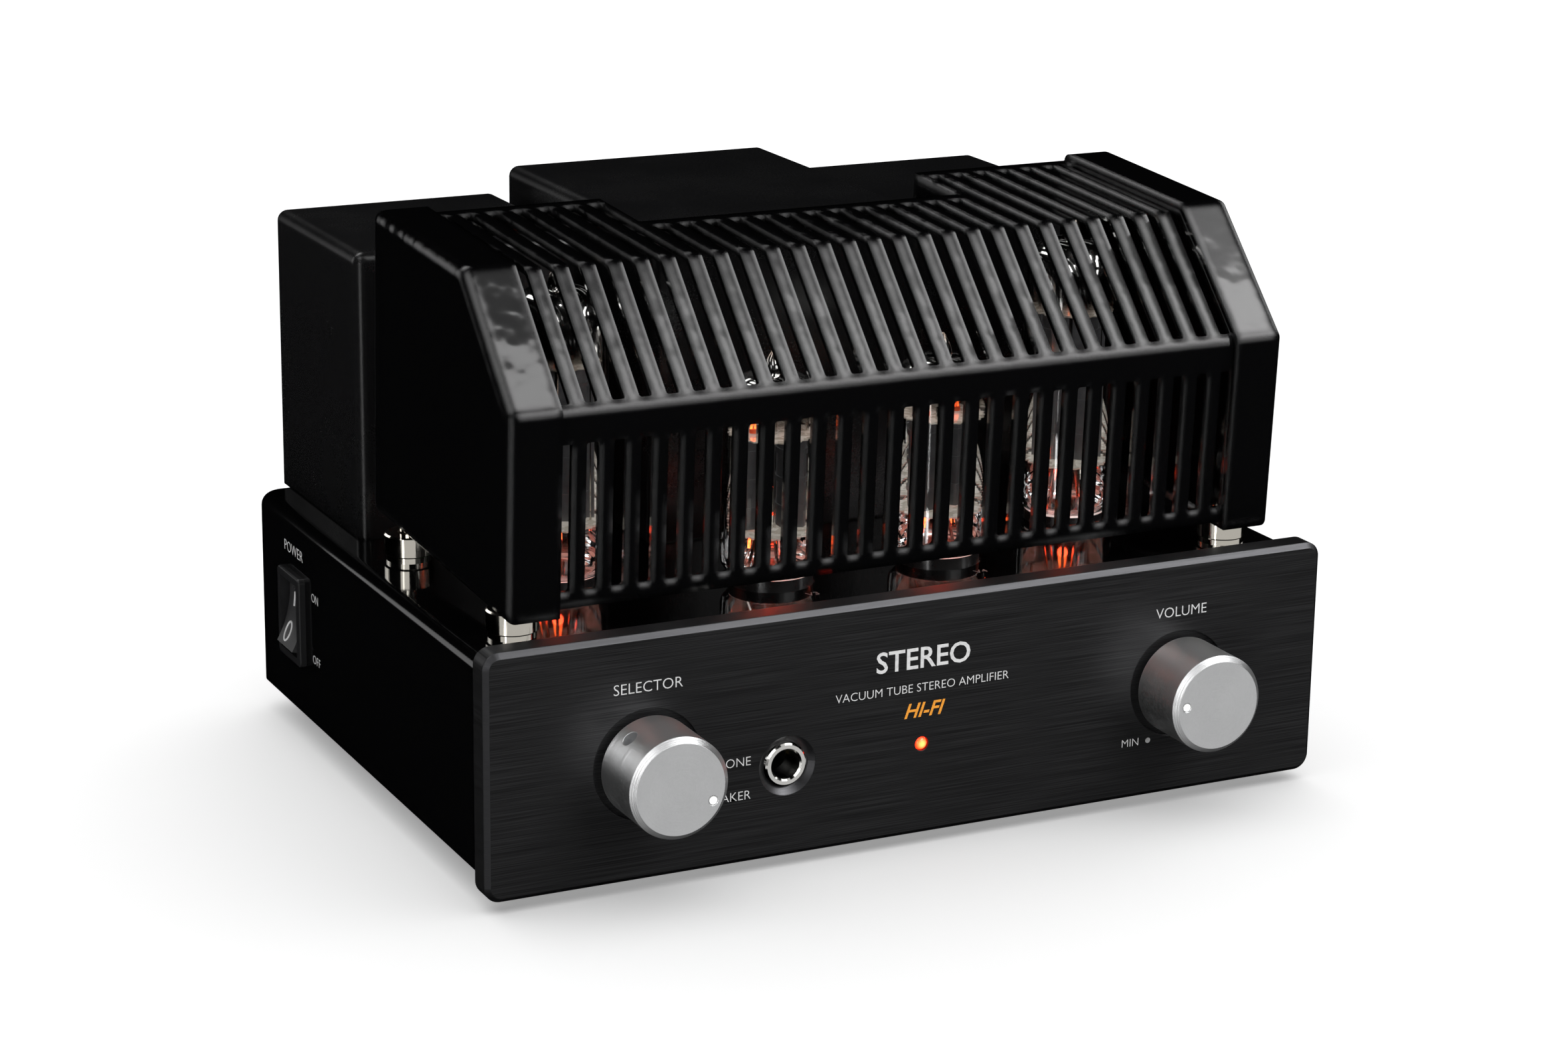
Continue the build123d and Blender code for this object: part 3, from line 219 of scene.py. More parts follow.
def turnedAluminium(name, centre):
    # satin anodised knob: lathe lines round the side, fine circles on the face
    finish = Finish(name, {"Metallic": 1.0})
    centred, radius = finish.fromCentre(centre)
    depth = finish.axis("Y", centred)
    turning = finish.add("ShaderNodeCombineXYZ", {}, {"X": radius * 2600.0, "Y": depth * 9000.0, "Z": 0.0})
    lines = finish.noise(turning, 1.0, 2.0, 0.6)
    cloud = finish.noise(finish.place(), 120.0, 3.0)
    speckle = finish.noise(finish.place(), 2400.0, 2.0)
    base = finish.blend(cloud * 0.6 + speckle * 0.4, (0.62, 0.625, 0.63, 1), (0.78, 0.785, 0.79, 1))
    fine = finish.bump(speckle, 0.10, 0.00003, finish.softEdge(0.00025))
    finish.feed(
        Base_Color=base,
        Roughness=finish.between(lines + speckle, 0.7, 1.3, 0.32, 0.42),
        Normal=finish.bump(lines, 0.8, 0.00008, fine),
    )
    return finish.material


def platedNickel(name, tint=(0.74, 0.70, 0.62, 1)):
    # bright nickel plate over turned brass
    finish = Finish(name, {"Metallic": 1.0, "Base Color": tint})
    lines = finish.noise(finish.stretched((90.0, 90.0, 3800.0)), 1.0, 2.0)
    stains = finish.noise(finish.place(), 300.0, 3.0)
    finish.feed(
        Roughness=finish.between(stains, 0.35, 0.75, 0.07, 0.17),
        Normal=finish.bump(lines, 0.12, 0.00003),
    )
    return finish.material


def plainSteel(name):
    finish = Finish(name, {"Metallic": 1.0})
    cloud = finish.noise(finish.place(), 240.0, 4.0)
    finish.feed(
        Base_Color=finish.blend(cloud, (0.42, 0.42, 0.43, 1), (0.62, 0.62, 0.63, 1)),
        Roughness=finish.between(cloud, 0.3, 0.7, 0.22, 0.4),
        Normal=finish.bump(finish.noise(finish.place(), 1800.0), 0.15, 0.00005),
    )
    return finish.material


def warmBrass(name):
    finish = Finish(name, {"Metallic": 1.0})
    cloud = finish.noise(finish.place(), 420.0, 3.0)
    finish.feed(
        Base_Color=finish.blend(cloud, (0.80, 0.58, 0.22, 1), (0.90, 0.70, 0.33, 1)),
        Roughness=finish.between(cloud, 0.3, 0.7, 0.14, 0.28),
    )
    return finish.material


def mouldedPlastic(name, dark, light, roughness, grain=0.4):
    # moulded plastic with a spark-eroded grain
    finish = Finish(name, {})
    speckle = finish.noise(finish.place(), 3200.0, 2.0)
    cloud = finish.noise(finish.place(), 60.0, 2.0)
    finish.feed(
        Base_Color=finish.blend(speckle, dark, light),
        Roughness=finish.between(cloud, 0.3, 0.7, roughness - 0.04, roughness + 0.06),
        Normal=finish.bump(speckle, grain, 0.00006),
    )
    return finish.material


def glazedCeramic(name):
    finish = Finish(name, {"Coat Weight": 0.3, "Coat Roughness": 0.08, "Subsurface Weight": 0.0})
    cloud = finish.noise(finish.place(), 260.0, 3.0)
    pits = finish.between(finish.noise(finish.place(), 1500.0, 2.0), 0.68, 0.8)
    # painted shade: the white glaze is coloured near-black wherever the face does not look up, so only the top
    # faces keep the white ceramic
    upward = finish.between(finish.facing("Z"), 0.3, 0.6)
    face = finish.blend(cloud, (0.86, 0.83, 0.78, 1), (0.94, 0.92, 0.89, 1))
    finish.feed(
        Base_Color=finish.blend(upward, (0.012, 0.011, 0.011, 1), face),
        Roughness=finish.between(cloud, 0.3, 0.7, 0.22, 0.36),
        Normal=finish.bump(pits * -1.0 + cloud * 0.2, 0.3, 0.00008),
    )
    return finish.material


tubeGlassLook = {
    "mirrorFade": 0.0050,  # how softly the silver flash ends
    "clearStrength": 2.1,  # how much the glass mirrors at its rim
    "sealLow": 0.0035,  # the bare glass seal, down from the tip
    "sealHigh": 0.0015,
    "wander": 0.006,
}


def bulbGlass(name, tipHeight, mirrorDepth):
    # thin clear glass: see-through where it faces the eye, a mirror at its rim,
    # with the getter's silver flash on the inside of the dome
    look = tubeGlassLook
    finish = Finish(name, {"Metallic": 1.0})
    height = finish.axis("Z")
    wander = finish.noise(finish.place(), 170.0, 3.0) * look["wander"]
    start = tipHeight - mirrorDepth
    flash = finish.between(height + wander, start, start + look["mirrorFade"])
    tip = finish.between(height, tipHeight - look["sealLow"], tipHeight - look["sealHigh"])
    flash = flash * (1.0 - tip)
    edge = finish.add("ShaderNodeFresnel", {}, {"IOR": 1.5}) * look["clearStrength"]
    browning = finish.between(height + wander, start - 0.0025, start + 0.002) * (1.0 - flash)
    tone = finish.blend(flash, (1.0, 1.0, 1.0, 1), (0.80, 0.79, 0.77, 1))
    tone = finish.blend(browning * 0.8, tone, (0.30, 0.20, 0.13, 1))
    smear = finish.noise(finish.place(), 260.0, 3.0)
    silvered = {0: edge, 1: flash + browning * 0.45}
    finish.feed(
        Base_Color=tone,
        Alpha=finish.add("ShaderNodeMath", {"operation": "MAXIMUM", "use_clamp": True}, silvered),
        Roughness=finish.between(smear, 0.3, 0.7, 0.015, 0.05) + flash * 0.06,
    )
    return finish.material


def anodeSheet(name):
    # carbonised nickel plate
    finish = Finish(name, {"Metallic": 0.75})
    cloud = finish.noise(finish.place(), 500.0, 4.0)
    finish.feed(
        Base_Color=finish.blend(cloud, (0.10, 0.10, 0.105, 1), (0.22, 0.22, 0.225, 1)),
        Roughness=finish.between(cloud, 0.3, 0.7, 0.34, 0.5),
        Normal=finish.bump(cloud, 0.2, 0.00008),
    )
    return finish.material


def micaDisc(name):
    finish = Finish(name, {"Coat Weight": 0.5, "Coat Roughness": 0.1})
    flakes = finish.add("ShaderNodeTexVoronoi", {}, {"Vector": finish.place(), "Scale": 700.0}, "Color")
    tone = finish.add("ShaderNodeSeparateColor", {}, {"Color": flakes}, 0)
    finish.feed(
        Base_Color=finish.blend(tone, (0.62, 0.56, 0.46, 1), (0.82, 0.78, 0.70, 1)),
        Roughness=finish.between(tone, 0.0, 1.0, 0.18, 0.4),
    )
    return finish.material


def heaterGlow(name, strength, cool, hot):
    # oxide-coated heater: hottest in the middle of each bend
    finish = Finish(name, {"Base Color": (0.5, 0.1, 0.03, 1), "Roughness": 0.6, "Emission Strength": strength})
    beat = finish.noise(finish.place(), 900.0, 2.0)
    finish.feed(Emission_Color=finish.blend(finish.between(beat, 0.3, 0.7), cool, hot))
    return finish.material


def lampLens(name):
    finish = Finish(name, {"Roughness": 0.2, "Emission Strength": 4.5, "Coat Weight": 0.6})
    radius = finish.fromCentre(middleOf("power_lamp"))[1]
    core = finish.between(radius, 0.0002, 0.0014)
    finish.feed(
        Base_Color=finish.blend(core, (1.0, 0.35, 0.12, 1), (0.8, 0.08, 0.02, 1)),
        Emission_Color=finish.blend(core, (1.0, 0.16, 0.03, 1), (0.9, 0.02, 0.004, 1)),
    )
    return finish.material


def softRubber(name):
    finish = Finish(name, {})
    grain = finish.noise(finish.place(), 1400.0, 3.0)
    finish.feed(
        Base_Color=finish.blend(grain, (0.012, 0.012, 0.012, 1), (0.03, 0.03, 0.03, 1)),
        Roughness=finish.between(grain, 0.3, 0.7, 0.6, 0.8),
        Normal=finish.bump(grain, 0.4, 0.0001),
    )
    return finish.material


def printedInk(name, colour, wear=0.5):
    # silk-screened ink, a little thin in places
    finish = Finish(name, {"Roughness": 0.45})
    thin = finish.between(finish.noise(finish.place(), 1100.0, 3.0), 0.25, 0.55)
    faded = tuple(part * (1 - 0.35 * wear) for part in colour[:3]) + (1,)
    finish.feed(Base_Color=finish.blend(thin, faded, colour))
    return finish.material


finishes = {
    "deckBlack": glossBlack("deckBlack", 0.35, 0.0006),
    "cageBlack": glossBlack("cageBlack", 1.5, 0.0025),
    "coverBlack": satinBlack("coverBlack"),
    "panelBlack": brushedBlack("panelBlack"),
    "nickel": platedNickel("nickel"),
    "brightNickel": platedNickel("brightNickel", (0.80, 0.79, 0.76, 1)),
    "steel": plainSteel("steel"),
    "brass": warmBrass("brass"),
    "ceramic": glazedCeramic("ceramic"),
    "blackPlastic": mouldedPlastic("blackPlastic", (0.008, 0.008, 0.008, 1), (0.018, 0.018, 0.018, 1), 0.34),
    "framePlastic": mouldedPlastic(
        "framePlastic", (0.010, 0.010, 0.011, 1), (0.022, 0.022, 0.023, 1), 0.30, 0.2),
    "rockerPlastic": mouldedPlastic(
        "rockerPlastic", (0.030, 0.030, 0.031, 1), (0.050, 0.050, 0.051, 1), 0.30, 0.15),
    "redPlastic": mouldedPlastic("redPlastic", (0.34, 0.012, 0.012, 1), (0.50, 0.030, 0.025, 1), 0.26, 0.15),
    "whitePlastic": mouldedPlastic("whitePlastic", (0.62, 0.62, 0.60, 1), (0.76, 0.76, 0.74, 1), 0.32, 0.15),
    "boardGreen": mouldedPlastic("boardGreen", (0.015, 0.10, 0.03, 1), (0.03, 0.18, 0.06, 1), 0.35, 0.3),
    "coreSteel": mouldedPlastic("coreSteel", (0.05, 0.05, 0.05, 1), (0.12, 0.12, 0.12, 1), 0.5, 0.5),
    "coilWrap": mouldedPlastic("coilWrap", (0.45, 0.30, 0.07, 1), (0.62, 0.44, 0.14, 1), 0.4, 0.3),
    "rubber": softRubber("rubber"),
    "lamp": lampLens("lamp"),
    "anode": anodeSheet("anode"),
    "mica": micaDisc("mica"),
    "wire": platedNickel("wire", (0.62, 0.60, 0.57, 1)),
    "heater": heaterGlow("heater", 6.0, (1.0, 0.05, 0.012, 1), (1.0, 0.20, 0.04, 1)),
    "cathode": heaterGlow("cathode", 0.25, (1.0, 0.04, 0.01, 1), (1.0, 0.10, 0.02, 1)),
    "whiteInk": printedInk("whiteInk", (0.72, 0.72, 0.72, 1)),
    "pointerInk": printedInk("pointerInk", (0.92, 0.92, 0.90, 1), 0.1),
    "faintInk": printedInk("faintInk", (0.42, 0.42, 0.42, 1), 1.0),
    "orangeInk": printedInk("orangeInk", (0.95, 0.36, 0.02, 1)),
}
print("finishes made,", len(finishes))


def dress(finishName, *names):
    material = finishes[finishName]
    for name in names:
        data = nodes[name].data
        if not data.materials:
            data.materials.append(material)
        for index in range(len(data.materials)):
            data.materials[index] = material


finishes["selectorMetal"] = turnedAluminium("selectorMetal", middleOf("selector_knob"))
finishes["volumeMetal"] = turnedAluminium("volumeMetal", middleOf("volume_knob"))
dress("deckBlack", "chassis_shell", "bottom_plate", "rear_plate")
dress("cageBlack", "cage_left_cheek", "cage_right_cheek", "cage_grille")
dress("coverBlack", "left_output_cover", "right_output_cover", "power_transformer_cover")
dress("panelBlack", "front_panel")
dress("selectorMetal", "selector_knob")
dress("volumeMetal", "volume_knob")
dress("nickel", "cage_posts", "cage_pins")
dress("brightNickel", "headphone_bushing", "phono_shells")
dress("steel", "post_nuts", "control_nuts", "selector_shaft", "volume_shaft", "socket_saddles", "board_pillars")
dress("steel", "volume_pot", "switch_tabs", "inlet_pins", "tube_pins", "foot_screws")
dress("steel", "selector_grub_screw", "volume_grub_screw")
dress("brass", "headphone_contacts", "speaker_stems")
dress("ceramic", "tube_sockets")
dress("blackPlastic", "headphone_body", "lamp_holder", "mains_inlet", "fuse_drawer", "selector_switch")
dress("blackPlastic", "speaker_collars", "filter_capacitors")
dress("blackPlastic", "speaker_cap_1", "speaker_cap_3", "speaker_cap_4", "speaker_cap_6")
dress("redPlastic", "speaker_cap_2", "speaker_cap_5")
dress("whitePlastic", "phono_centres")
dress("framePlastic", "switch_frame")
dress("rockerPlastic", "power_rocker")
dress("lamp", "power_lamp")
dress("rubber", "rubber_feet")
dress("boardGreen", "circuit_board")
dress("coreSteel", "transformer_cores")
dress("coilWrap", "transformer_coils")
dress("brightNickel", "mains_fuse")
print("frame dressed")


def pieceFrom(name, mesh, body, materialNames, smooth=True):
    data = bpy.data.meshes.new(name)
    bmesh.ops.recalc_face_normals(mesh, faces=mesh.faces)
    mesh.to_mesh(data)
    mesh.free()
    piece = bpy.data.objects.new(name, data)
    bpy.context.scene.collection.objects.link(piece)
    for materialName in materialNames:
        data.materials.append(finishes[materialName])
    if smooth:
        data.set_sharp_from_angle(angle=math.radians(35))
        for face in data.polygons:
            face.use_smooth = True
    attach(piece, body)
    return piece


def lathe(mesh, profile, centre, steps, slot=0):
    # spins (radius, height) points about Z; a radius of 0 gives one shared point
    rings = []
    for radius, height in profile:
        if radius < 1e-7:
            rings.append([mesh.verts.new((centre[0], centre[1], centre[2] + height))])
            continue
        ring = []
        for step in range(steps):
            turn = 2 * math.pi * step / steps
            x, y = centre[0] + radius * math.cos(turn), centre[1] + radius * math.sin(turn)
            ring.append(mesh.verts.new((x, y, centre[2] + height)))
        rings.append(ring)
    for lower, upper in zip(rings, rings[1:]):
        for step in range(steps):
            after = (step + 1) % steps
            corners = [lower[step % len(lower)], lower[after % len(lower)]]
            corners += [upper[after % len(upper)], upper[step % len(upper)]]
            corners = list(dict.fromkeys(corners))
            if len(corners) > 2:
                mesh.faces.new(corners).material_index = slot


def prism(mesh, outline, low, high, slot=0):
    # straight extrusion of a plan outline
    bottom = [mesh.verts.new((x, y, low)) for x, y in outline]
    top = [mesh.verts.new((x, y, high)) for x, y in outline]
    faces = [mesh.faces.new(bottom[::-1]), mesh.faces.new(top)]
    for index in range(len(outline)):
        after = (index + 1) % len(outline)
        faces.append(mesh.faces.new((bottom[index], bottom[after], top[after], top[index])))
    for face in faces:
        face.material_index = slot


def rod(mesh, path, radius, steps=8, slot=0):
    # round wire along a list of points, capped at both ends
    rings = []
    for index, point in enumerate(path):
        before = path[max(index - 1, 0)]
        after = path[min(index + 1, len(path) - 1)]
        forward = (Vector(after) - Vector(before)).normalized()
        side = forward.cross(Vector((0.31, 0.87, 0.17))).normalized()
        other = forward.cross(side)
        ring = []
        for step in range(steps):
            turn = 2 * math.pi * step / steps
            around = side * math.cos(turn) + other * math.sin(turn)
            ring.append(mesh.verts.new(Vector(point) + radius * around))
        rings.append(ring)
    for lower, upper in zip(rings, rings[1:]):
        for step in range(steps):
            after = (step + 1) % steps
            mesh.faces.new((lower[step], lower[after], upper[after], upper[step])).material_index = slot
    mesh.faces.new(rings[0][::-1]).material_index = slot
    mesh.faces.new(rings[-1]).material_index = slot


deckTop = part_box("chassis_shell")[1].z
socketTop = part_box("tube_sockets")[1].z


powerBulb = {
    "height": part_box("power_tube_glass")[1].z - socketTop,
    "radius": 0.0110,
    "heel": 0.0026,
    "shoulder": 0.0125,  # from the tip down to where the side is straight
    "tipLength": 0.0052,
    "tipRadius": 0.0021,
    "wall": 0.0008,
    "mirrorDepth": 0.0185,
}
smallBulb = dict(powerBulb, height=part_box("small_tube_glass")[1].z - socketTop, mirrorDepth=0.0125)


def tubeSpots(node, bulb):
    # plan centres of a pair of tubes, read from the glass's own box
    low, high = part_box(node)
    x, y = high.x - bulb["radius"], (low.y + high.y) / 2
    return [(-x, y), (x, y)]


powerSpots = tubeSpots("power_tube_glass", powerBulb)
smallSpots = tubeSpots("small_tube_glass", smallBulb)


def bulbProfile(bulb, inset):
    # from the middle of the flat base, round the heel, up the side, over the dome to the tip
    radius, heel, neck = bulb["radius"] - inset, bulb["heel"], bulb["tipRadius"]
    top = bulb["height"] - bulb["tipLength"]
    shoulder = bulb["height"] - bulb["shoulder"]
    points = [(0.0, inset), (radius - heel, inset)]
    for step in range(1, 7):
        turn = math.pi / 2 * step / 6
        points.append((radius - heel + heel * math.sin(turn), inset + heel - heel * math.cos(turn)))
    for step in range(1, 8):
        points.append((radius, inset + heel + (shoulder - heel - inset) * step / 7))
    for step in range(1, 13):
        turn = math.pi / 2 * step / 12
        reach = neck + (radius - neck) * math.cos(turn) ** 0.85
        points.append((reach, shoulder + (top - inset * 0.6 - shoulder) * math.sin(turn) ** 1.1))
    if inset > 0:
        return points + [(0.0, top - inset * 0.6)]
    for step in range(1, 9):
        share = step / 8
        pinch = neck * (1 - share ** 2.4) * (0.86 + 0.14 * math.cos(share * math.pi))
        points.append((max(pinch, 0.0), top + bulb["tipLength"] * share))
    return points


def makeBulbs(name, bulb, spots, node):
    mesh = bmesh.new()
    for x, y in spots:
        lathe(mesh, bulbProfile(bulb, 0.0), (x, y, socketTop), 48)
        lathe(mesh, bulbProfile(bulb, bulb["wall"]), (x, y, socketTop), 48)
    finishes[name] = bulbGlass(name, socketTop + bulb["height"], bulb["mirrorDepth"])
    piece = pieceFrom(name, mesh, "amplifier", [name])
    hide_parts(node)


makeBulbs("powerBulbs", powerBulb, powerSpots, "power_tube_glass")
makeBulbs("smallBulbs", smallBulb, smallSpots, "small_tube_glass")
print("bulbs blown")

powerInsides = {
    "plateLow": 0.0120,
    "plateHigh": 0.0460,
    "plateWide": 0.0126,
    "plateDeep": 0.0076,
    "ribs": 4,
    "cathodes": [0.0],
    "micaRadius": 0.0096,
    "getterRadius": 0.0034,
}
smallInsides = {
    "plateLow": 0.0100,
    "plateHigh": 0.0300,
    "plateWide": 0.0062,
    "plateDeep": 0.0066,
    "ribs": 3,
    "cathodes": [-0.0042, 0.0042],
    "micaRadius": 0.0096,
    "getterRadius": 0.0030,
}


tubeWires = {
    "sleeve": 0.0009,
    "heater": 0.00032,
    "crown": 0.00028,
    "gridRod": 0.00042,
    "plateRod": 0.00034,
    "getter": 0.00035,
    "getterStay": 0.0003,
    "lead": 0.00036,
    "pinCircle": 0.00595,
}
spacer = {"teeth": 28, "toothDepth": 0.0007, "thick": 0.0003}
plateRib = {"proud": 0.0006, "high": 0.0012}


def plateOutline(x, wide, deep, flange):
    # waisted box section with a crimped fin on each side
    halfWide, halfDeep = wide / 2, deep / 2
    quarter = [(halfWide + flange, 0.0003), (halfWide, 0.0003), (halfWide * 0.92, halfDeep * 0.62)]
    quarter += [(halfWide * 0.66, halfDeep), (halfWide * 0.30, halfDeep * 0.92)]
    mirrored = [(-px, py) for px, py in reversed(quarter)]
    upper = quarter + mirrored
    lower = [(px, -py) for px, py in reversed(upper)]
    return [(x + px, py) for px, py in upper + lower]


def fillPlate(mesh, insides, offset, flange):
    # one plate with its ribs, cathode sleeve, heater bends and rods
    low, high = insides["plateLow"], insides["plateHigh"]
    wide, deep = insides["plateWide"], insides["plateDeep"]
    prism(mesh, plateOutline(offset, wide, deep, flange), low, high, 0)
    for rib in range(insides["ribs"]):
        level = low + (high - low) * (rib + 0.6) / (insides["ribs"] + 0.2)
        ribbed = plateOutline(offset, wide + plateRib["proud"], deep + plateRib["proud"], 0.0)
        prism(mesh, ribbed, level, level + plateRib["high"], 0)
    sleeve, foot, head = tubeWires["sleeve"], low - 0.0022, high + 0.0016
    lathe(mesh, [(0.0, foot), (sleeve, foot), (sleeve, head), (0.0, head)], (offset, 0, 0), 14, 4)
    for side in (-1, 1):
        bend = [(offset + side * 0.0007, 0.0, low - 0.0050), (offset + side * 0.0006, 0.0002, low - 0.0034)]
        bend += [(offset + side * 0.0003, 0.0, low - 0.0020)]
        rod(mesh, bend, tubeWires["heater"], 6, 3)
    crown = [(offset - 0.0005, 0, high + 0.0014), (offset - 0.0003, 0, high + 0.0026)]
    crown += [(offset + 0.0003, 0, high + 0.0026), (offset + 0.0005, 0, high + 0.0014)]
    rod(mesh, crown, tubeWires["crown"], 6, 3)
    for side in (-1, 1):
        x, y = offset + side * wide * 0.56, side * deep * 0.62
        rod(mesh, [(offset, y, low - 0.003), (offset, y, high + 0.0034)], tubeWires["gridRod"], 8, 2)
        rod(mesh, [(x, 0, low - 0.003), (x, 0, high + 0.0042)], tubeWires["plateRod"], 8, 2)


def fillTube(mesh, insides, x, y, turn):
    start = len(mesh.verts)
    low, high = insides["plateLow"], insides["plateHigh"]
    offsets = insides["cathodes"]
    for offset in offsets:
        fillPlate(mesh, insides, offset, 0.0016 if len(offsets) == 1 else 0.0004)
    # toothed mica spacers above and below the plates
    for level in (low - 0.0009, high + 0.0004):
        edge = []
        for tooth in range(spacer["teeth"] * 2):
            angle = math.pi * tooth / spacer["teeth"]
            reach = insides["micaRadius"] - (spacer["toothDepth"] if tooth % 2 else 0.0)
            edge.append((reach * math.cos(angle), reach * math.sin(angle)))
        prism(mesh, edge, level, level + spacer["thick"], 1)
    # getter ring on its wire
    ring = insides["getterRadius"]
    crownLevel = high + 0.0088
    angles = [step * math.pi / 10 for step in range(21)]
    hoop = [(ring * math.cos(angle), ring * math.sin(angle), crownLevel) for angle in angles]
    rod(mesh, hoop, tubeWires["getter"], 8, 2)
    stay = [(ring, 0, crownLevel), (ring + 0.0004, 0, high + 0.004), (ring, 0, high + 0.0004)]
    rod(mesh, stay, tubeWires["getterStay"], 8, 2)
    # lead wires fanned out from the pin circle, with one gap
    for lead in range(9):
        angle = math.radians(36 * lead + 18)
        pin = tubeWires["pinCircle"]
        footAt = (pin * math.cos(angle), pin * math.sin(angle), 0.0009)
        bendAt = (0.0050 * math.cos(angle), 0.0050 * math.sin(angle), 0.0034)
        headAt = (0.0036 * math.cos(angle), 0.0030 * math.sin(angle), low - 0.0012)
        rod(mesh, [footAt, bendAt, headAt], tubeWires["lead"], 6, 2)
    mesh.verts.ensure_lookup_table()
    added = mesh.verts[start:]
    bmesh.ops.rotate(mesh, verts=added, cent=(0, 0, 0), matrix=Matrix.Rotation(turn, 3, "Z"))
    bmesh.ops.translate(mesh, verts=added, vec=(x, y, socketTop))


def makeInsides(name, insides, spots, node, turns):
    mesh = bmesh.new()
    for (x, y), turn in zip(spots, turns):
        fillTube(mesh, insides, x, y, math.radians(turn))
    piece = pieceFrom(name, mesh, "amplifier", ["anode", "mica", "wire", "heater", "cathode"])
    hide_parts(node)


makeInsides("powerTubeInsides", powerInsides, powerSpots, "power_tube_electrodes", (-24, -30))
makeInsides("smallTubeInsides", smallInsides, smallSpots, "small_tube_electrodes", (-12, 10))
print("tubes filled")

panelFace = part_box("front_panel")[0].y
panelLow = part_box("front_panel")[0].z
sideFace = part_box("chassis_shell")[0].x
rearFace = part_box("rear_plate")[1].y


facingTurns = {
    "front": Matrix.Rotation(math.pi / 2, 4, "X"),
    "left": Matrix.Rotation(-math.pi / 2, 4, "Z") @ Matrix.Rotation(math.pi / 2, 4, "X"),
    "rear": Matrix.Rotation(math.pi, 4, "Z") @ Matrix.Rotation(math.pi / 2, 4, "X"),
    "up": Matrix.Identity(4),
}
inkThick = 0.00001  # the legends stand this far off the paint


def lettering(name, words, place, capHeight, facing, inkName, align="CENTER", weight=0.0, tilt=0.0):
    # a line of printed ink: the font's outlines made into a thin raised mesh
    curve = bpy.data.curves.new(name, "FONT")
    curve.body = words
    curve.align_x = align
    curve.size = 1.0
    curve.extrude = 0.01
    curve.offset = weight
    curve.shear = tilt
    curve.resolution_u = 3
    holder = bpy.data.objects.new(name + "Curve", curve)
    bpy.context.scene.collection.objects.link(holder)
    bpy.context.view_layer.update()
    depsgraph = bpy.context.evaluated_depsgraph_get()
    data = bpy.data.meshes.new_from_object(holder.evaluated_get(depsgraph))
    bpy.data.objects.remove(holder)
    bpy.data.curves.remove(curve)
    scale = capHeight / 0.7
    size = Matrix.Diagonal((scale, scale, 0.002, 1))
    data.transform(Matrix.Translation(place) @ facingTurns[facing] @ size)
    data.name = name
    data.materials.clear()
    data.materials.append(finishes[inkName])
    piece = bpy.data.objects.new(name, data)
    bpy.context.scene.collection.objects.link(piece)
    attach(piece, "amplifier")


panelLegends = [
    # name, words, x, height, cap height, ink, alignment, weight, slant
    ("selectorLegend", "SELECTOR", -0.0640, 0.0413, 0.00235, "whiteInk", "CENTER", -0.010, 0.0),
    ("volumeLegend", "VOLUME", 0.0640, 0.0410, 0.00235, "whiteInk", "CENTER", -0.010, 0.0),
    ("phoneLegend", "PHONE", -0.0404, 0.0218, 0.0020, "whiteInk", "RIGHT", -0.012, 0.0),
    ("speakerLegend", "SPEAKER", -0.0404, 0.0143, 0.0020, "whiteInk", "RIGHT", -0.012, 0.0),
    ("minLegend", "MIN", 0.0545, 0.0123, 0.0018, "whiteInk", "RIGHT", -0.012, 0.0),
    ("stereoLegend", "STEREO", 0.0, 0.0378, 0.0046, "whiteInk", "CENTER", 0.012, 0.0),
    ("kindLegend", "VACUUM TUBE STEREO AMPLIFIER", 0.0, 0.0325, 0.0019, "whiteInk", "CENTER", -0.012, 0.0),
    ("orangeLegend", "HI-FI", 0.0, 0.0268, 0.0032, "orangeInk", "CENTER", 0.016, 0.35),
]
for name, words, x, height, capHeight, inkName, align, weight, tilt in panelLegends:
    place = (x, panelFace - inkThick, panelLow + height)
    lettering(name, words, place, capHeight, "front", inkName, align, weight, tilt)

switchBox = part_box("switch_frame")
switchY = (switchBox[0].y + switchBox[1].y) / 2
switchZ = (switchBox[0].z + switchBox[1].z) / 2
sideLegends = [
    ("powerLegend", "POWER", 0.0, 0.0142, 0.0026),
    ("onLegend", "ON", -0.0142, 0.0068, 0.0021),
    ("offLegend", "OFF", -0.0146, -0.0078, 0.0021),
]
for name, words, alongY, alongZ, capHeight in sideLegends:
    place = (sideFace - inkThick, switchY + alongY, switchZ + alongZ)
    lettering(name, words, place, capHeight, "left", "whiteInk", weight=-0.016)

tubeNumbers = [("V1", powerSpots[0]), ("V3", smallSpots[0]), ("V4", smallSpots[1]), ("V2", powerSpots[1])]
for words, (x, y) in tubeNumbers:
    place = (x + 0.0040, y - 0.0135, deckTop + inkThick)
    lettering("deck" + words, words, place, 0.0019, "up", "faintInk")

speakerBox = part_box("speaker_stems")
speakerZ = (speakerBox[0].z + speakerBox[1].z) / 2
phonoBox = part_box("phono_shells")
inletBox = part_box("mains_inlet")
rearLegends = [
    ("rightSpeaker", "RIGHT  SPEAKER", -0.0230, speakerZ + 0.0110, 0.0019),
    ("leftSpeaker", "LEFT  SPEAKER", 0.0230, speakerZ + 0.0110, 0.0019),
    ("inputOne", "LINE 1", phonoBox[1].x - 0.0055, phonoBox[1].z + 0.0012, 0.0017),
    ("inputTwo", "LINE 2", phonoBox[0].x + 0.0055, phonoBox[1].z + 0.0012, 0.0017),
    ("fuseLegend", "FUSE", (inletBox[0].x + inletBox[1].x) / 2, inletBox[0].z - 0.0030, 0.0017),
]
for name, words, x, z, capHeight in rearLegends:
    lettering(name, words, (x, rearFace + inkThick, z), capHeight, "rear", "whiteInk")
ohmShares = (0, 0.189, 0.378, 0.622, 0.811, 1)  # terminal places along the row
rowStart, rowLength = speakerBox[1].x - 0.003, speakerBox[1].x - speakerBox[0].x - 0.006
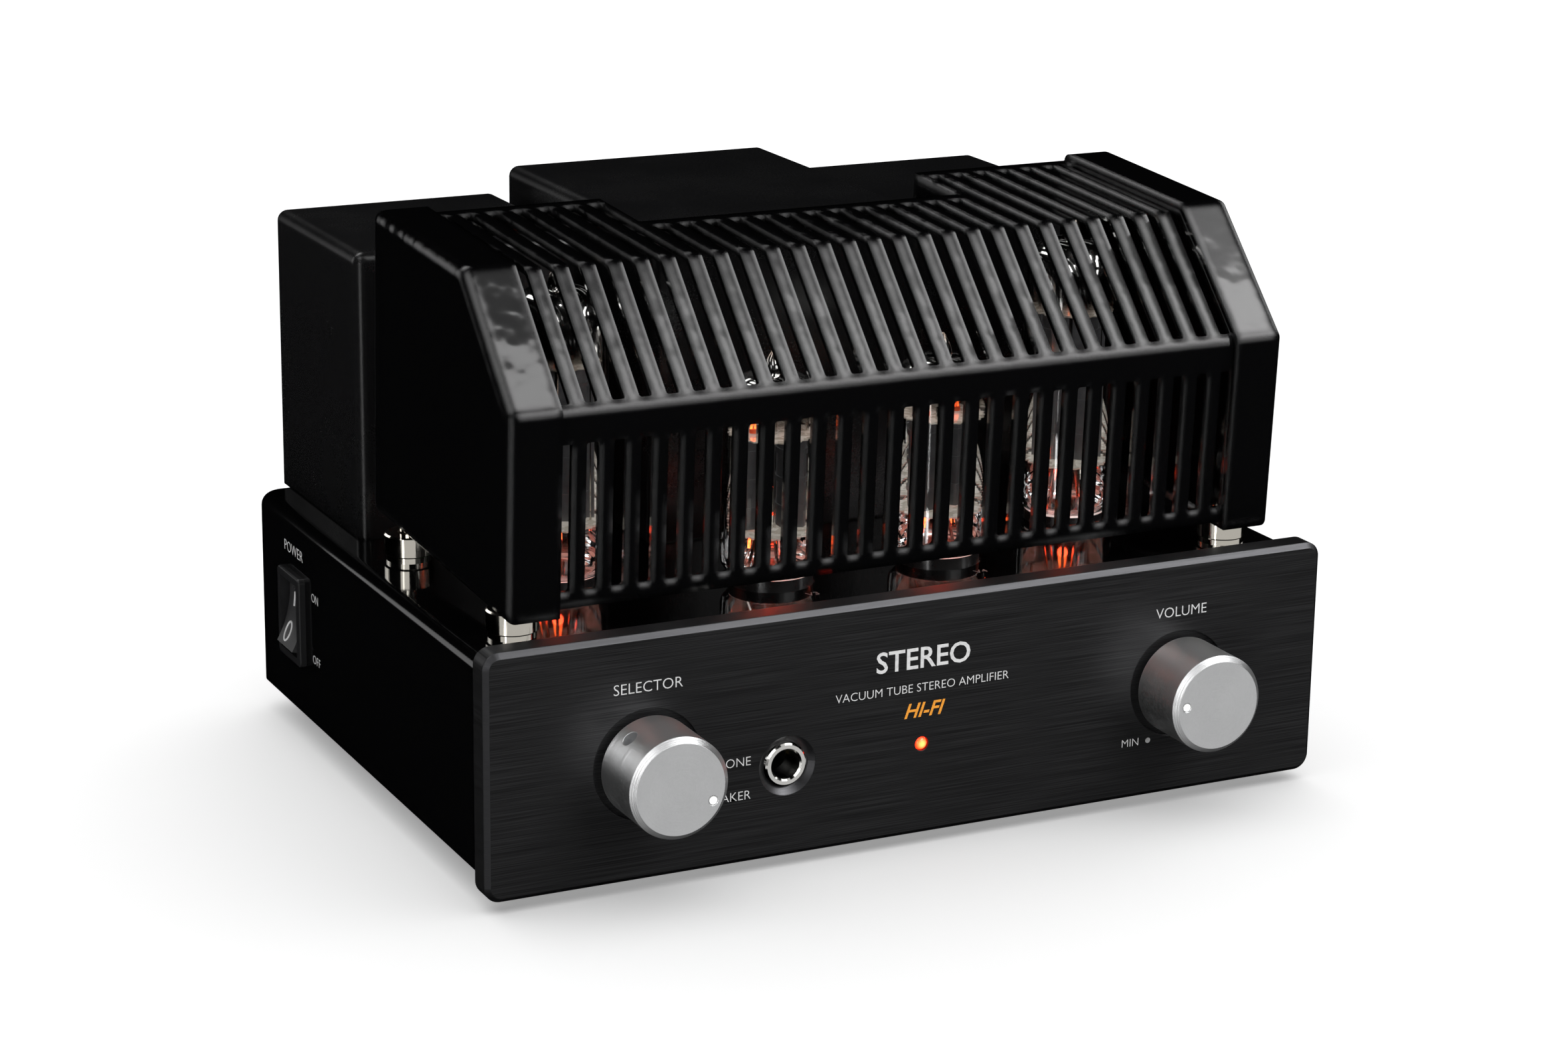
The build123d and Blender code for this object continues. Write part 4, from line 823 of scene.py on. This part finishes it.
for index, (words, share) in enumerate(zip(("8", "4", "0", "8", "4", "0"), ohmShares)):
    place = (rowStart - rowLength * share, rearFace + inkThick, speakerZ - 0.0105)
    lettering("ohmMark" + str(index + 1), words, place, 0.0018, "rear", "whiteInk")
print("legends printed")


def dot(name, profile, steps, place, body, inkName):
    # small round mark facing the front
    mesh = bmesh.new()
    lathe(mesh, profile, (0, 0, 0), steps)
    bmesh.ops.rotate(mesh, verts=mesh.verts, cent=(0, 0, 0), matrix=Matrix.Rotation(math.pi / 2, 3, "X"))
    bmesh.ops.translate(mesh, verts=mesh.verts, vec=place)
    pieceFrom(name, mesh, body, [inkName])


minMark = {"radius": 0.00062, "thick": 0.00003, "x": 0.0567, "height": 0.0131}
rim = minMark["radius"]
flatDisc = [(0.0, 0.0), (rim, 0.0), (rim, minMark["thick"]), (0.0, minMark["thick"])]
dotPlace = (minMark["x"], panelFace, panelLow + minMark["height"])
dot("minDot", flatDisc, 24, dotPlace, "amplifier", "faintInk")

pointers = {"circle": 0.0080, "radius": 0.00085, "selector": -25.0, "volume": 176.0}


def pointerDot(name, node, body, angle):
    # bright filled dot near the rim of a knob's face
    middle, turn, radius = middleOf(node), math.radians(angle), pointers["radius"]
    x = middle.x + pointers["circle"] * math.cos(turn)
    z = middle.z + pointers["circle"] * math.sin(turn)
    crowned = [(0.0, -0.0002), (radius, -0.0002), (radius, 0.0), (radius * 0.7, 0.00004), (0.0, 0.00005)]
    dot(name, crowned, 28, (x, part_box(node)[0].y + 0.00006, z), body, "pointerInk")


pointerDot("selectorPointer", "selector_knob", "selector", pointers["selector"])
pointerDot("volumePointer", "volume_knob", "volume", pointers["volume"])

rockerMarks = {
    "setBack": 0.0012,  # from the middle, towards the rear
    "barPlace": 0.70,  # share of the rocker's height
    "barHeight": 0.0034,
    "barWidth": 0.00060,
    "ringPlace": 0.24,
    "ringHeight": 0.0042,
    "ringWidth": 0.0030,
    "ringLine": 0.00052,
}


def raiseRockerMarks():
    rocker = nodes["power_rocker"]
    low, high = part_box("power_rocker")
    middleY = (low.y + high.y) / 2 + rockerMarks["setBack"]
    tall, wide = rockerMarks["ringHeight"], rockerMarks["ringWidth"]

    def skin(y, z):
        # the point of the rocker's curved face at this height
        hit, where, normal, face = rocker.ray_cast(Vector((low.x - 0.01, y, z)), Vector((1, 0, 0)))
        return where.x - 0.00003 if hit else low.x

    mesh = bmesh.new()
    topZ = low.z + (high.z - low.z) * rockerMarks["barPlace"]
    lowZ = low.z + (high.z - low.z) * rockerMarks["ringPlace"]
    bar = []
    for step in range(9):
        z = topZ - rockerMarks["barHeight"] / 2 + rockerMarks["barHeight"] * step / 8
        bar.append((skin(middleY, z), middleY, z))
    rod(mesh, bar, rockerMarks["barWidth"] / 2, 8)
    ring = []
    for step in range(33):
        turn = 2 * math.pi * step / 32
        y, z = middleY + wide / 2 * math.cos(turn), lowZ + tall / 2 * math.sin(turn)
        ring.append((skin(y, z), y, z))
    rod(mesh, ring, rockerMarks["ringLine"] / 2, 8)
    pieceFrom("rockerMarks", mesh, "rocker", ["whiteInk"])


raiseRockerMarks()
print("switch marked")


screwHead = {
    "radius": 0.0028,
    "height": 0.0018,
    "edge": 0.45,  # share of the height before the dome starts
    "crown": 0.42,  # share of the radius left flat on top
    "arm": 0.3612,  # the cross, as shares of the radius and the height
    "slit": 0.11,
    "depth": 0.6,
    "taper": 0.8,
}


def crossHead(mesh):
    # one pan head standing on z = 0, with the cross sunk into its flat middle
    radius, height = screwHead["radius"], screwHead["height"]
    edge, crown = screwHead["edge"], screwHead["crown"]
    dome = [(0.0, 0.0), (radius, 0.0), (radius, height * edge)]
    for step in range(1, 6):
        angle = math.pi / 2 * step / 6
        reach = crown + (1 - crown) * math.cos(angle)
        dome.append((radius * reach, height * (edge + (1 - edge) * math.sin(angle))))
    lathe(mesh, dome, (0, 0, 0), 32)
    mesh.verts.ensure_lookup_table()
    ring = mesh.verts[-32:]
    arm, slit = radius * screwHead["arm"], radius * screwHead["slit"]
    outline = []
    for quarter in range(4):
        across, along = math.cos(quarter * math.pi / 2), math.sin(quarter * math.pi / 2)
        for px, py in ((arm, -slit), (arm, slit), (slit, slit)):
            outline.append((px * across - py * along, px * along + py * across))
    taper, floorLevel = screwHead["taper"], height * (1 - screwHead["depth"])
    rim = [mesh.verts.new((x, y, height)) for x, y in outline]
    floor = [mesh.verts.new((x * taper, y * taper, floorLevel)) for x, y in outline]
    for index in range(len(outline)):
        after = (index + 1) % len(outline)
        mesh.faces.new((rim[index], rim[after], floor[after], floor[index]))
    mesh.faces.new(floor)
    edges = [mesh.edges.get((ring[index], ring[(index + 1) % 32])) for index in range(32)]
    edges += [mesh.edges.get((rim[index], rim[(index + 1) % 12])) for index in range(12)]
    bmesh.ops.triangle_fill(mesh, edges=[edge for edge in edges if edge], use_beauty=True)


def crossHeadScrews(name, node, facing):
    # four heads on the rear plate, or six under the base, as the node's box places them
    low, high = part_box(node)
    radius = screwHead["radius"]
    columns = (low.x + radius, high.x - radius)
    if facing == "rear":
        places = [Vector((x, low.y, z)) for x in columns for z in (low.z + radius, high.z - radius)]
        turn = Matrix.Rotation(-math.pi / 2, 3, "X")
    else:
        rows = (low.y + radius, (low.y + high.y) / 2, high.y - radius)
        places = [Vector((x, y, high.z)) for x in columns for y in rows]
        turn = Matrix.Rotation(math.pi, 3, "X")
    mesh = bmesh.new()
    for place in places:
        start = len(mesh.verts)
        crossHead(mesh)
        mesh.verts.ensure_lookup_table()
        added = mesh.verts[start:]
        spin = Matrix.Rotation(random.uniform(0, math.pi / 2), 3, "Z")
        bmesh.ops.rotate(mesh, verts=added, cent=(0, 0, 0), matrix=turn @ spin)
        bmesh.ops.translate(mesh, verts=added, vec=place)
    piece = pieceFrom(name, mesh, "amplifier", ["steel"])
    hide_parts(node)


crossHeadScrews("rearPanHeads", "rear_screws", "rear")
crossHeadScrews("basePanHeads", "bottom_screws", "down")
print("screws cut")

floorLook = {
    "size": 8.0,
    "colour": (0.90, 0.90, 0.90, 1),
    "glow": 0.32,
    "sun": 3.0,
    "softness": 110.0,  # degrees across, for a wide soft shadow
    "sunTilt": (-14.0, 10.0),
}
emberLook = {"watts": 0.0012, "colour": (1.0, 0.06, 0.02), "radius": 0.0012, "height": 0.0062}


def group(name, members):
    made = bpy.data.collections.new(name)
    for member in members:
        made.objects.link(member)
    return made


def layFloor():
    mesh = bmesh.new()
    half = floorLook["size"] / 2
    corners = [mesh.verts.new((x * half, y * half, 0)) for x, y in ((-1, -1), (1, -1), (1, 1), (-1, 1))]
    mesh.faces.new(corners)
    data = bpy.data.meshes.new("studioFloor")
    mesh.to_mesh(data)
    mesh.free()
    floor = bpy.data.objects.new("studioFloor", data)
    bpy.context.scene.collection.objects.link(floor)
    paper = Finish("floorPaper", {
        "Base Color": floorLook["colour"],
        "Roughness": 0.9,
        "Specular IOR Level": 0.0,
        "Emission Color": (1, 1, 1, 1),
        "Emission Strength": floorLook["glow"],
    })
    data.materials.append(paper.material)
    floor.visible_glossy = False
    floor.visible_shadow = False
    floor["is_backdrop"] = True
    return floor


floor = layFloor()
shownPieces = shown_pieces()
metalNames = ("knob", "posts", "pins", "bushing", "phono_shells", "Pointer", "stems", "grub")
tubeNames = ("Bulbs", "Insides", "tube_sockets")


def named(words):
    return [piece for piece in shownPieces if any(word in piece.name for word in words)]


# each lamp lights one of these; embers keep off the bright metal
metalPieces = named(metalNames)
receivers = {
    "floor": group("floorGroup", [floor]),
    "object": group("objectGroup", shownPieces),
    "metal": group("metalGroup", metalPieces),
    "tube": group("tubeGroup", named(tubeNames)),
    "dark": group("darkGroup", [piece for piece in shownPieces if piece not in metalPieces]),
}
for shell in ("chassis_shell", "front_panel"):
    nodes[shell].visible_glossy = False  # keeps the black deck out of the bright metal

softBoxes = {
    # name: (place, aim, size across, size up, radiance, what it lights)
    "topBox": ((0.62, -0.51, 0.93), (0.62, -0.40, 0.0), 0.62, 0.58, 2.3, "object"),
    "topDim": ((0.16, -0.40, 0.94), (0.16, -0.32, 0.0), 0.28, 0.40, 0.55, "object"),
    "bandGlow": ((0.45, -0.318, 0.95), (0.45, -0.28, 0.0), 0.95, 0.070, 4.5, "object"),
    "foldStrip": ((0.52, -0.78, 0.80), (0.0, -0.06, 0.10), 1.10, 0.34, 5.0, "object"),
    "upLeftCard": ((-0.55, -0.20, 0.95), (0.0, 0.0, 0.10), 0.40, 0.50, 2.6, "object"),
    "leftStrip": ((-0.80, -0.62, 0.10), (0.0, -0.05, 0.06), 0.10, 0.90, 5.0, "object"),
    "frontCard": ((0.56, -1.20, 0.40), (0.0, -0.05, 0.04), 0.70, 0.35, 2.6, "object"),
    "highRear": ((-0.25, 0.90, 1.10), (0.0, 0.0, 0.08), 0.80, 0.50, 3.0, "object"),
    "rearCard": ((-0.85, 1.00, 0.35), (0.0, 0.08, 0.05), 0.60, 0.60, 0.9, "object"),
    "rightCard": ((1.10, 0.35, 0.52), (0.0, 0.0, 0.08), 0.40, 0.40, 2.6, "object"),
    "floorBounce": ((0.10, -0.60, 0.001), (0.10, -0.60, 1.0), 1.40, 1.01, 0.56, "metal"),
    "metalLeft": ((-0.75, -0.75, 0.60), (0.0, -0.05, 0.05), 0.80, 0.90, 2.5, "metal"),
    "metalRear": ((-0.40, 1.00, 0.50), (0.0, -0.05, 0.05), 0.90, 0.60, 1.8, "metal"),
    "domeTop": ((0.25, -0.40, 1.00), (0.0, -0.03, 0.10), 0.34, 0.70, 7.0, "tube"),
    "domeFront": ((-0.50, -0.90, 0.80), (0.0, -0.03, 0.10), 0.30, 0.50, 4.5, "tube"),
    "tubeFill": ((0.20, -1.00, 0.30), (0.0, -0.03, 0.08), 0.50, 0.30, 0.9, "tube"),
}


def hangLights():
    for name, (place, aim, across, up, radiance, lit) in softBoxes.items():
        lamp = bpy.data.lights.new(name, "AREA")
        lamp.shape = "RECTANGLE"
        lamp.size, lamp.size_y = across, up
        lamp.energy = radiance * math.pi * across * up
        holder = bpy.data.objects.new(name, lamp)
        holder.location = place
        holder.rotation_mode = "QUATERNION"
        holder.rotation_quaternion = (Vector(aim) - Vector(place)).to_track_quat("-Z", "Y")
        holder.visible_camera = False
        holder.light_linking.receiver_collection = receivers[lit]
        if lit in ("metal", "tube"):
            holder.light_linking.blocker_collection = receivers["floor"]
        bpy.context.scene.collection.objects.link(holder)
    wash = bpy.data.lights.new("floorWash", "SUN")
    wash.energy = floorLook["sun"]
    wash.angle = math.radians(floorLook["softness"])
    holder = bpy.data.objects.new("floorWash", wash)
    holder.rotation_euler = (*map(math.radians, floorLook["sunTilt"]), 0)
    holder.light_linking.receiver_collection = receivers["floor"]
    bpy.context.scene.collection.objects.link(holder)
    for index, (x, y) in enumerate(powerSpots + smallSpots):
        ember = bpy.data.lights.new("ember" + str(index + 1), "POINT")
        ember.energy = emberLook["watts"]
        ember.color = emberLook["colour"]
        ember.shadow_soft_size = emberLook["radius"]
        holder = bpy.data.objects.new(ember.name, ember)
        holder.location = (x, y, socketTop + emberLook["height"])
        holder.light_linking.receiver_collection = receivers["dark"]
        bpy.context.scene.collection.objects.link(holder)


hangLights()
world = bpy.data.worlds.new("whiteRoom")
bpy.context.scene.world = world
world.use_nodes = True
world.node_tree.nodes["Background"].inputs["Color"].default_value = (1, 1, 1, 1)
world.node_tree.nodes["Background"].inputs["Strength"].default_value = 1.0
world.cycles_visibility.glossy = False
world.cycles_visibility.diffuse = False
world.cycles_visibility.transmission = False

cameraView = {
    "place": (-0.3592, -0.7319, 0.2914),
    "azimuth": -26.346,
    "elevation": 16.317,
    "roll": 0.789,
    "lens": 85.38,
}


def setCamera():
    turn, lift = math.radians(cameraView["azimuth"]), math.radians(cameraView["elevation"])
    back = Vector((math.sin(turn) * math.cos(lift), -math.cos(turn) * math.cos(lift), math.sin(lift)))
    right = Vector((math.cos(turn), math.sin(turn), 0))
    up = back.cross(right)
    roll = math.radians(cameraView["roll"])
    across = right * math.cos(roll) + up * math.sin(roll)
    upward = up * math.cos(roll) - right * math.sin(roll)
    data = bpy.data.cameras.new("viewCamera")
    data.lens = cameraView["lens"]
    data.sensor_width = 36.0
    data.clip_start, data.clip_end = 0.01, 50.0
    camera = bpy.data.objects.new("viewCamera", data)
    facing = Matrix((across, upward, back)).transposed().to_4x4()
    camera.matrix_world = Matrix.Translation(cameraView["place"]) @ facing
    bpy.context.scene.collection.objects.link(camera)
    bpy.context.scene.camera = camera


setCamera()
bpy.context.scene.view_settings.view_transform = "Standard"
print("studio set")
